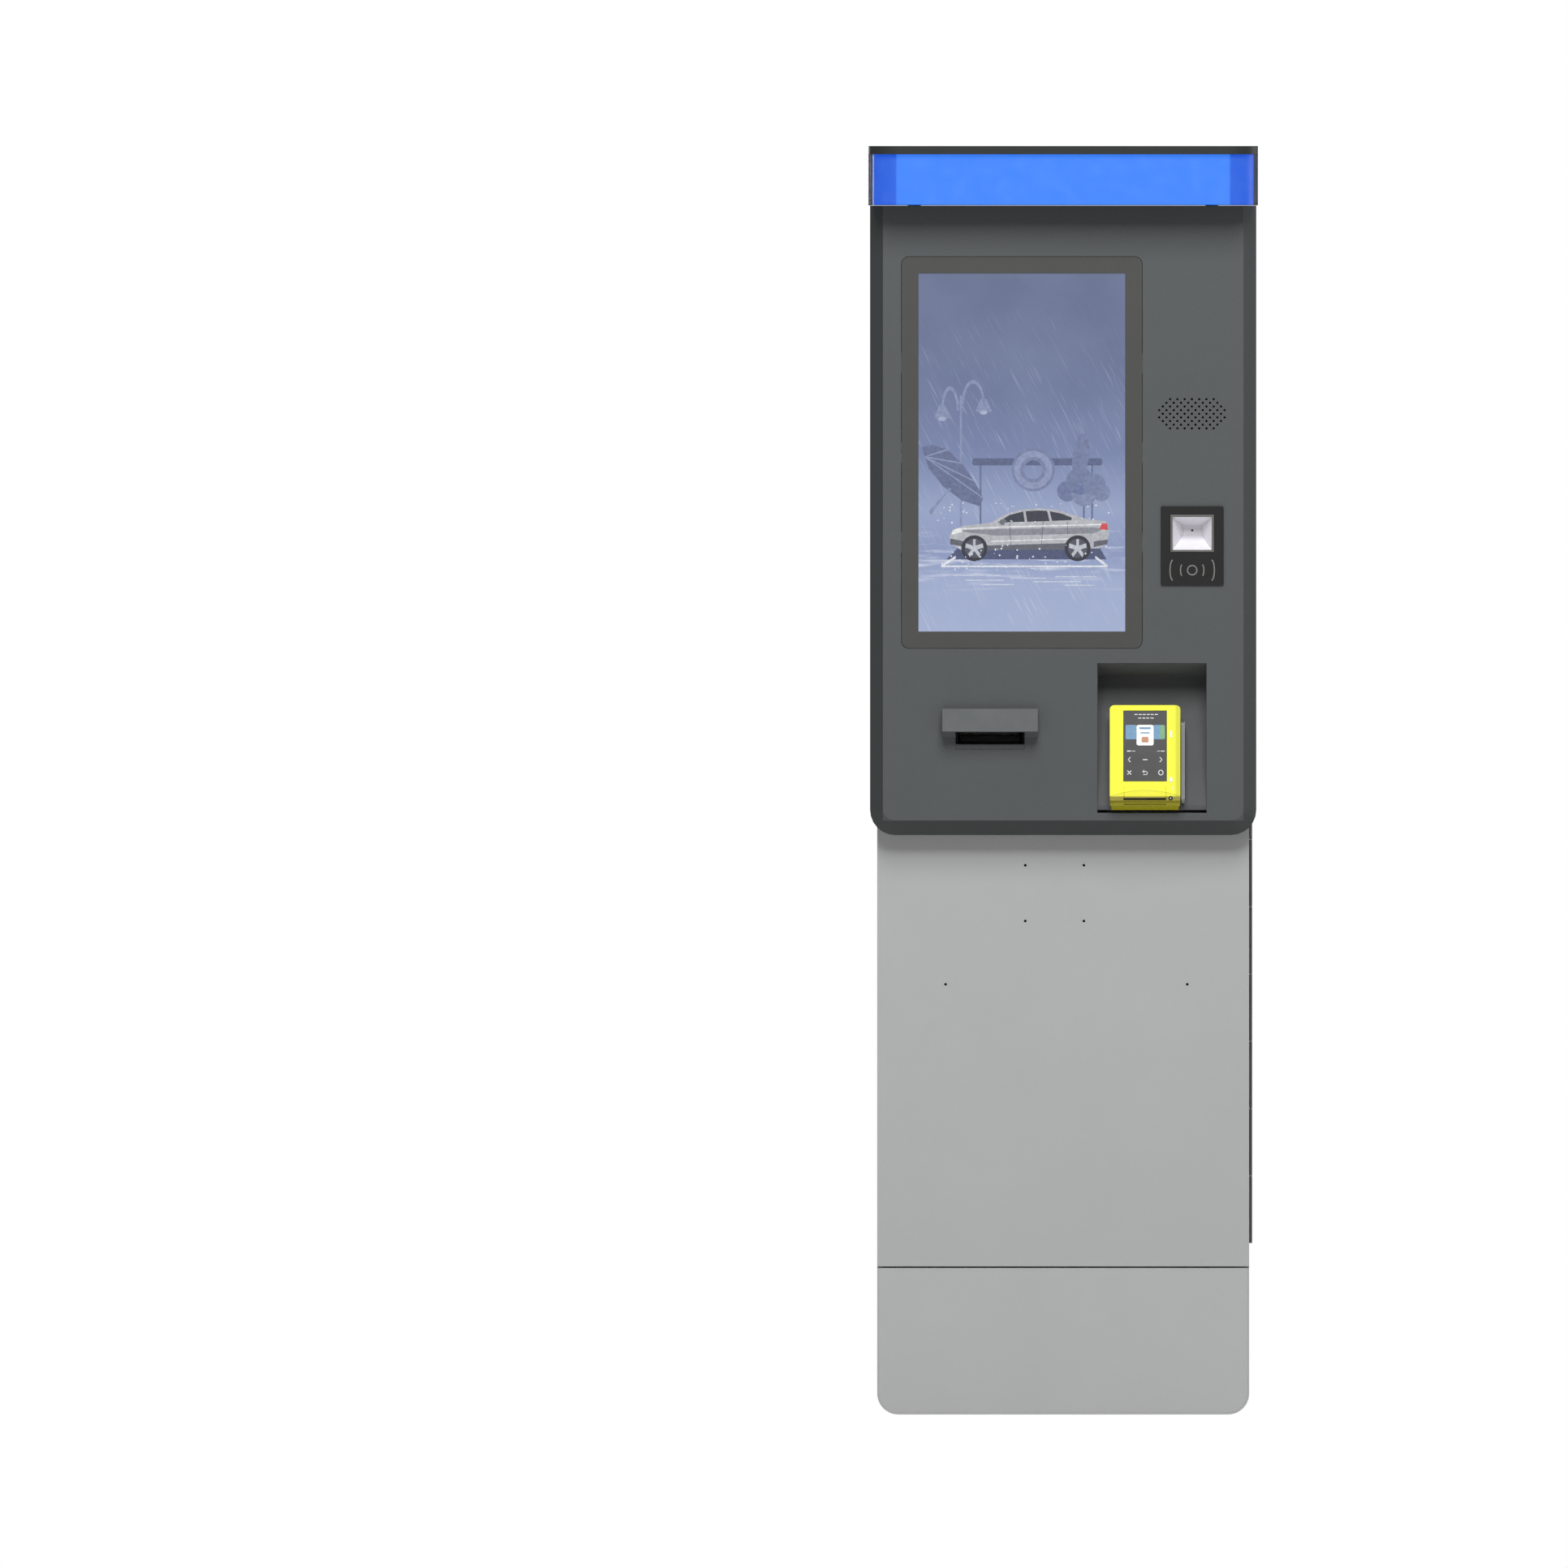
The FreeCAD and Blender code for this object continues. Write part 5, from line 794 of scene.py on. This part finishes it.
def paintParasol():
    # a parasol that lies on its side, with ribs from its tip to its rim
    edge = [(0.015, 0.515), (0.065, 0.522), (0.14, 0.508), (0.21, 0.470), (0.27, 0.420), (0.315, 0.372)]
    inside = [(0.295, 0.350), (0.21, 0.366), (0.12, 0.405), (0.05, 0.455)]
    paint("Parasol", [edge + inside], (112, 122, 160), 1)
    ribs = [stroke([(0.03, 0.488), point], 0.004) for point in edge[2:]]
    handle = stroke([(0.155, 0.40), (0.05, 0.335), (0.062, 0.328)], 0.006)
    paint("Ribs", ribs + [handle], (150, 161, 196), 2)


def paintSplash():
    # drops that jump from the floor, and a few from the car's roof
    splash = random.Random(picture["splashSeed"])
    left, right, ground = picture["carLeft"], picture["carRight"], picture["ground"]
    drops = []
    for _ in range(picture["splashCount"]):
        across = splash.uniform(left - 0.06, right + 0.02)
        onFloor = splash.random() < 0.6
        up = ground + splash.uniform(-0.04, 0.03) if onFloor else splash.uniform(0.30, 0.36)
        drops.append(around((across, up), splash.uniform(0.0025, 0.006), screenRatio, 90))
    paint("Splash", drops, (232, 238, 250), 8)


paintBay()
paintCar()
paintWheels()
paintStreetLamp()
paintShelter()
paintParasol()
paintSplash()
print("picture ready")


# marks on the code reader
reader = {
    "ring": 0.0062,
    "line": 0.0017,
    "bows": ((0.0155, 0.0072), (0.0295, 0.0135)),
    "bend": 0.28,
    "drop": 0.0327,
    "lift": 0.0003,
    "thickness": 0.0004,
    "pupilHeight": 1.1765,
    "pupilRadius": 0.0014,
    "pupilLift": 0.0020,
    "pupilThickness": 0.0003,
}


def makeReaderMark():
    # a ring between two pairs of bows, each with its reach to the side and its half height
    low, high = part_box("scanner_body")
    centre = ((low.x + high.x) / 2, (low.z + high.z) / 2 - reader["drop"])
    loops = ringStrips(centre, reader["ring"], reader["line"])
    for reach, tall in reader["bows"]:
        for side in (-1, 1):
            bow = [(centre[0] + side * (reach - reader["bend"] * tall * (1 - math.cos(math.radians(a)))),
                    centre[1] + tall * math.sin(math.radians(a))) for a in range(-90, 91, 12)]
            loops.append(stroke(bow, reader["line"]))
    finishes["markGrey"] = finished("markGrey", fromScreen(120, 120, 118), 0.4, grain=2000.0,
                                    wear=0.0, dust=0.0)
    mesh = extruded(loops, reader["thickness"], frontPlace(low.y - reader["lift"]))
    meshPiece("readerMark", mesh, "markGrey", "front_door")


makeReaderMark()


# marks on the card terminal: outlines in millimetres from the lower middle of its leaning front
def terminalPlace(depth):
    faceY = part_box("display_bezel")[0].y
    return (Matrix.Translation((terminal["corner"][0], faceY - terminal["proud"], terminal["corner"][1]))
            @ Matrix.Rotation(-math.radians(terminal["tilt"]), 4, "X")
            @ Matrix.Translation((0, depth, 0)))


def millimetres(loop):
    return [(x / 1000, z / 1000) for x, z in loop]


def dashes(count, start, up, step, long, width):
    # a row of short bars that stands for a line of small print
    return [stroke([(start + step * i, up), (start + long + step * i, up)], width) for i in range(count)]


def keyMarks():
    # six touch keys: back, less, next, cancel, undo and confirm
    undo = [(-3.2, 41)] + arcPoints((0.8, 38.8), 2.2, 90, -90, 8) + [(-2.6, 36.6)]
    return [stroke([(-19.5, 61), (-22.5, 57.6), (-19.5, 54.2)], 1.1),
            stroke([(-3.2, 57.6), (3.2, 57.6)], 1.3),
            stroke([(19.5, 61), (22.5, 57.6), (19.5, 54.2)], 1.1),
            stroke([(-23.5, 42.2), (-18.5, 36.8)], 1.2),
            stroke([(-18.5, 42.2), (-23.5, 36.8)], 1.2),
            stroke([(-1, 43), (-3.4, 41), (-1, 39)], 1.0),
            stroke(undo, 1.0)] + ringStrips((21, 39.5), 2.9, 1.1, 1.15)


def lineMarks():
    small = [stroke([(-24, 69.5), (-19, 69.5)], 1.6), stroke([(-18, 69.5), (-13, 69.5)], 0.8),
             stroke([(16, 69.5), (20, 69.5)], 0.8), stroke([(21, 69.5), (26, 69.5)], 1.2)]
    return dashes(6, -14, 120.5, 5.4, 4, 1.3) + dashes(4, -9, 115.5, 5.4, 4, 1.3) + small


def makeScreenMarks():
    # each set's finish, outlines and layer over the terminal's screen
    cards = [roundedBar((-26, 86), (-11, 106), 2), roundedBar((11, 86), (26, 106), 2)]
    bands = [roundedBar((-7.5, 100), (7.5, 102.5), 0.5), roundedBar((-6, 94), (6, 95.5), 0.4)]
    sets = {
        "Cards": ("cardBlue", cards, 0),
        "CardEnds": ("cardGreen", [roundedBar((20, 86.5), (26.5, 105.5), 1.5)], 1),
        "Tile": ("iconWhite", [roundedBar((-11.5, 77), (11.5, 106), 3)], 2),
        "TileBand": ("cardBlue", bands, 3),
        "TileChip": ("chipAmber", [roundedBar((-4.5, 81.5), (4.5, 89), 1.2)], 3),
        "Keys": ("iconWhite", keyMarks(), 0),
        "Lines": ("iconWhite", lineMarks(), 0),
    }
    finishes["cardBlue"] = glowing("cardBlue", (72, 150, 200), 0.8)
    finishes["cardGreen"] = glowing("cardGreen", (92, 176, 96), 0.8)
    finishes["chipAmber"] = glowing("chipAmber", (214, 130, 60), 0.8)
    for name, (finish, loops, layer) in sets.items():
        place = terminalPlace(terminal["screenTop"] - terminal["lift"] * layer)
        mesh = extruded([millimetres(loop) for loop in loops], terminal["screenMark"], place)
        meshPiece(f"terminal{name}", mesh, finish, "front_door")


def makeShellMarks():
    # side icons and a round socket, printed or sunk in the yellow shell, and the card slot as a dark bar of
    # painted shade where its opening lies
    icons = [roundedBar((33, 88), (36, 98), 1.2), roundedBar((32.5, 26), (36.5, 33), 1.5),
             roundedBar((35.5, 14), (36.3, 20), 0.3)]
    jack = (34, 3.6)
    sets = {
        "SideIcons": ("iconWhite", icons),
        # painted shade: the card slot is a dark bar laid on the shell in place of its opening
        "CardSlot": ("deepBlack", [roundedBar((-29, 1.2), (28, 3.8), 1.1)]),
        "Jack": ("deepBlack", [arcPoints(jack, 2.85, 0, 345, 23)]),
        "JackEye": ("lensGrey", [arcPoints(jack, 1.3, 0, 345, 23)]),
    }
    finishes["lensGrey"] = finished("lensGrey", fromScreen(96, 104, 104), 0.15, grain=2000.0,
                                    wear=0.0, dust=0.0)
    for order, (name, (finish, loops)) in enumerate(sets.items()):
        place = terminalPlace(-terminal["shellLift"] - terminal["shellStep"] * order)
        mesh = extruded([millimetres(loop) for loop in loops], terminal["shellMark"], place)
        meshPiece(f"terminal{name}", mesh, finish, "front_door")


makeScreenMarks()
makeShellMarks()


# receipt slot sill and code reader pupil
sill = {
    "halfWide": 0.0458,
    "depth": (0.0004, 0.0028),
    "height": (0.8852, 0.8925),
    "slope": 0.0008,
}


def slab(name, low, high, finish, body, slope=0.0):
    # a block whose top front edge may be lowered by the slope
    form = bmesh.new()
    bmesh.ops.create_cube(form, size=1)
    for vertex in form.verts:
        share = [0 if value < 0 else 1 for value in vertex.co]
        vertex.co = Vector([low[axis] + (high[axis] - low[axis]) * share[axis] for axis in range(3)])
        if share[2] and not share[1]:
            vertex.co.z -= slope
    mesh = bpy.data.meshes.new(name)
    form.to_mesh(mesh)
    form.free()
    return meshPiece(name, mesh, finish, body)


def makeSmallFront():
    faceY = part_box("display_bezel")[0].y
    low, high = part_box("receipt_hood")
    middle = (low.x + high.x) / 2
    slab("slotSill", (middle - sill["halfWide"], faceY + sill["depth"][0], sill["height"][0]),
         (middle + sill["halfWide"], faceY + sill["depth"][1], sill["height"][1]),
         "headPaint", "front_door", sill["slope"])
    low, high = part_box("scanner_reflector")
    centre = ((low.x + high.x) / 2, reader["pupilHeight"])
    pupil = extruded([arcPoints(centre, reader["pupilRadius"], 0, 345, 23)], reader["pupilThickness"],
                     frontPlace(high.y - reader["pupilLift"]))
    meshPiece("readerPupil", pupil, "deepBlack", "front_door")


makeSmallFront()
print("front details ready")


# small parts that repeat: one source mesh on many points, by Geometry Nodes
def makeRepeatGroup():
    group = bpy.data.node_groups.new("repeatParts", "GeometryNodeTree")
    for label, kind in (("Geometry", "NodeSocketGeometry"), ("Source", "NodeSocketObject"),
                        ("Turn", "NodeSocketVector"), ("Finish", "NodeSocketMaterial")):
        group.interface.new_socket(label, in_out="INPUT", socket_type=kind)
    group.interface.new_socket("Geometry", in_out="OUTPUT", socket_type="NodeSocketGeometry")
    add, link = group.nodes.new, group.links.new
    enter, leave = add("NodeGroupInput"), add("NodeGroupOutput")
    source, spreadOut = add("GeometryNodeObjectInfo"), add("GeometryNodeInstanceOnPoints")
    real, finish = add("GeometryNodeRealizeInstances"), add("GeometryNodeSetMaterial")
    link(enter.outputs["Source"], source.inputs["Object"])
    link(enter.outputs["Geometry"], spreadOut.inputs["Points"])
    link(source.outputs["Geometry"], spreadOut.inputs["Instance"])
    link(enter.outputs["Turn"], spreadOut.inputs["Rotation"])
    link(spreadOut.outputs["Instances"], real.inputs["Geometry"])
    link(real.outputs["Geometry"], finish.inputs["Geometry"])
    link(enter.outputs["Finish"], finish.inputs["Material"])
    link(finish.outputs["Geometry"], leave.inputs["Geometry"])
    return group


repeatGroup = makeRepeatGroup()


def repeated(name, places, source, finish, body, turn=(0, 0, 0)):
    points = bpy.data.meshes.new(f"{name}Points")
    points.from_pydata([Vector(place) for place in places], [], [])
    carrier = bpy.data.objects.new(name, points)
    scene.collection.objects.link(carrier)
    modifier = carrier.modifiers.new("repeat", "NODES")
    modifier.node_group = repeatGroup
    sockets = {item.name: item.identifier for item in repeatGroup.interface.items_tree
               if item.in_out == "INPUT"}
    modifier[sockets["Source"]] = source
    modifier[sockets["Turn"]] = turn
    modifier[sockets["Finish"]] = finishes[finish]
    bpy.context.view_layer.update()
    graph = bpy.context.evaluated_depsgraph_get()
    mesh = bpy.data.meshes.new_from_object(carrier.evaluated_get(graph))
    bpy.data.objects.remove(carrier)
    return meshPiece(name, mesh, finish, body)


def turned(name, rings, sides=18):
    # a small source solid about Z from (radius, height) rings, closed at both ends
    form = bmesh.new()
    turns = [2 * math.pi * k / sides for k in range(sides)]
    loops = [[form.verts.new((radius * math.cos(turn), radius * math.sin(turn), height)) for turn in turns]
             for radius, height in rings]
    for low, high in zip(loops, loops[1:]):
        for k in range(sides):
            form.faces.new((low[k], low[(k + 1) % sides], high[(k + 1) % sides], high[k]))
    form.faces.new(loops[0][::-1])
    form.faces.new(loops[-1])
    bmesh.ops.recalc_face_normals(form, faces=form.faces)
    mesh = bpy.data.meshes.new(name)
    form.to_mesh(mesh)
    form.free()
    return bpy.data.objects.new(name, mesh)


def screwSource(name, radius, tall):
    # button head with a round socket
    rim = [(radius, 0), (radius, tall * 0.35), (radius * 0.88, tall * 0.8), (radius * 0.62, tall)]
    socket = [(radius * 0.42, tall), (radius * 0.40, tall * 0.45), (radius * 0.02, tall * 0.45)]
    return turned(name, rim + socket)


def brick(name, wide, deep, tall):
    form = bmesh.new()
    bmesh.ops.create_cube(form, size=1)
    bmesh.ops.scale(form, verts=form.verts, vec=(wide, deep, tall))
    mesh = bpy.data.meshes.new(name)
    form.to_mesh(mesh)
    form.free()
    return bpy.data.objects.new(name, mesh)


towardsRear = (-math.pi / 2, 0, 0)
towardsFront = (math.pi / 2, 0, 0)
sources = {
    "screw": screwSource("screwSource", 0.0042, 0.0026),
    "bigScrew": screwSource("bigScrewSource", 0.0062, 0.0036),
    "rivet": turned("rivetSource", [(0.0028, 0), (0.0026, 0.00012), (0.0004, 0.00014)]),
    # a flat dark disc that stands for a perforation: painted shade of the hole
    "hole": turned("holeSource", [(0.0021, 0), (0.0021, 0.00012), (0.0003, 0.00012)], 12),
    "nut": turned("nutSource", [(0.0052, 0), (0.0052, 0.0040), (0.0028, 0.0042), (0.0028, 0.0062),
                                (0.0004, 0.0062)], 6),
    "fin": brick("finSource", 0.0016, 0.012, 0.150),
    "terminalBlock": brick("blockSource", 0.0080, 0.0120, 0.0140),
    "chip": brick("chipSource", 0.018, 0.003, 0.014),
    "can": turned("canSource", [(0.005, 0), (0.005, 0.011), (0.0044, 0.012), (0.0004, 0.012)], 16),
}

# screws, nuts, rivets and small electrical parts: where each row starts, its step and its count
fasteners = {
    "sunk": 0.0001,
    "fanCentres": (1.083, 1.217),
    "fanScrewReach": 0.0525,
    "filterInset": 0.010,
    "plateInset": 0.014,
    "plateHeights": (0.230, 0.470, 0.710, 0.950, 1.190),
    "holeStart": (0.016, 0.020),
    "holeStep": (0.0085, 0.0075),
    "holeCount": (18, 9),
    "blockStart": (0.012, 0.0062, 0.0085),
    "blockStep": 0.0092,
    "blockCount": 9,
    "blockHalf": 0.0061,
    "finStart": 0.030,
    "finStep": 0.0085,
    "finCount": 21,
    "finLift": 0.0061,
    "boxInset": 0.010,
    "clampInset": 0.008,
    "clampEnd": 0.013,
    "rivetInset": 0.007,
    "rivetEnd": 0.03,
    "rivetCount": 12,
}
board = {
    "inset": (0.030, 0.060),
    "depth": (0.0010, 0.0029),
    "rows": 5,
    "rowStep": 0.075,
    "chipStart": (0.050, 0.0044, 0.090),
    "chipStep": 0.034,
    "chipCount": 5,
    "canStart": (0.050, 0.0029, 0.078),
    "canStep": 0.026,
    "canCount": 7,
}


def dressRearDoor():
    # screws of the fans and of the filter frame, on the door's inside
    sunk, reach, inset = fasteners["sunk"], fasteners["fanScrewReach"], fasteners["filterInset"]
    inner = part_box("fan_frames")[0].y
    corners = [(x, inner - sunk, z + up) for z in fasteners["fanCentres"] for x in (-reach, reach)
               for up in (-reach, reach)]
    repeated("fanScrews", corners, sources["screw"], "zincSteel", "rear_door", towardsFront)
    low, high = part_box("intake_filter")
    edge = [(x, low.y - sunk, z) for x in (low.x + inset, 0.0, high.x - inset)
            for z in (low.z + inset, high.z - inset)]
    repeated("filterScrews", edge, sources["screw"], "zincSteel", "rear_door", towardsFront)


def dressEquipment():
    # equipment plate, power supply and controller, which show when the rear door is open
    low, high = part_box("equipment_plate")
    inset = fasteners["plateInset"]
    edge = [(x, high.y, z) for x in (low.x + inset, high.x - inset) for z in fasteners["plateHeights"]]
    repeated("plateScrews", edge, sources["bigScrew"], "zincSteel", "cabinet", towardsRear)
    low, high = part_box("power_supply")
    # painted shade: the perforations are dark discs on the supply's face, standing in for the shade inside
    # its holes
    start, step, count = fasteners["holeStart"], fasteners["holeStep"], fasteners["holeCount"]
    grid = [(low.x + start[0] + step[0] * (k + (row % 2) / 2), high.y, low.z + start[1] + step[1] * row)
            for row in range(count[1]) for k in range(count[0])]
    repeated("supplyHoles", grid, sources["hole"], "deepBlack", "cabinet", towardsRear)
    start = fasteners["blockStart"]
    blocks = [(high.x - start[0] - fasteners["blockStep"] * k, high.y + start[1], low.z + start[2])
              for k in range(fasteners["blockCount"])]
    repeated("supplyBlocks", blocks, sources["terminalBlock"], "deepBlack", "cabinet")
    heads = [(x, y + fasteners["blockHalf"], z) for x, y, z in blocks]
    repeated("supplyClamps", heads, sources["rivet"], "brightSteel", "cabinet", towardsRear)
    low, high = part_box("controller_box")
    fins = [(low.x + fasteners["finStart"] + fasteners["finStep"] * k, high.y + fasteners["finLift"],
             (low.z + high.z) / 2) for k in range(fasteners["finCount"])]
    repeated("controllerFins", fins, sources["fin"], "boxPaint", "cabinet")
    inset = fasteners["boxInset"]
    corners = [(x, high.y, z) for x in (low.x + inset, high.x - inset)
               for z in (low.z + inset, high.z - inset)]
    repeated("controllerScrews", corners, sources["screw"], "zincSteel", "cabinet", towardsRear)


def dressFrontDoor():
    # clamp nuts, the display's board with its chips and cans, and the hinge rivets
    low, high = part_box("display_clamps")
    inset, end = fasteners["clampInset"], fasteners["clampEnd"]
    heights = [low.z + end + (high.z - low.z - 2 * end) * share for share in (0, 0.5, 1)]
    nuts = [(x, high.y, z) for x in (low.x + inset, high.x - inset) for z in heights]
    repeated("clampNuts", nuts, sources["nut"], "zincSteel", "front_door", towardsRear)
    low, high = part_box("display_electronics")
    aside, up = board["inset"]
    slab("displayBoard", (low.x + aside, high.y + board["depth"][0], low.z + up),
         (high.x - aside, high.y + board["depth"][1], high.z - up), "circuitGreen", "front_door")
    # every third place of the chips stays empty, and only every third place of the cans is used
    start = board["chipStart"]
    chips = [(low.x + start[0] + board["chipStep"] * k, high.y + start[1],
              low.z + start[2] + board["rowStep"] * row)
             for row in range(board["rows"]) for k in range(board["chipCount"]) if (row + k) % 3]
    repeated("displayChips", chips, sources["chip"], "deepBlack", "front_door")
    start = board["canStart"]
    cans = [(low.x + start[0] + board["canStep"] * k, high.y + start[1],
             low.z + start[2] + board["rowStep"] * row)
            for row in range(board["rows"]) for k in range(board["canCount"]) if (row * 2 + k) % 3 == 0]
    repeated("displayCans", cans, sources["can"], "brightSteel", "front_door", towardsRear)
    low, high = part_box("front_hinge_moving_leaf")
    end, last = fasteners["rivetEnd"], fasteners["rivetCount"] - 1
    rivets = [(high.x - fasteners["rivetInset"], high.y, low.z + end + (high.z - low.z - 2 * end) * k / last)
              for k in range(last + 1)]
    repeated("hingeRivets", rivets, sources["rivet"], "brightSteel", "front_door", towardsRear)


dressRearDoor()
dressEquipment()
dressFrontDoor()
print("fasteners ready")
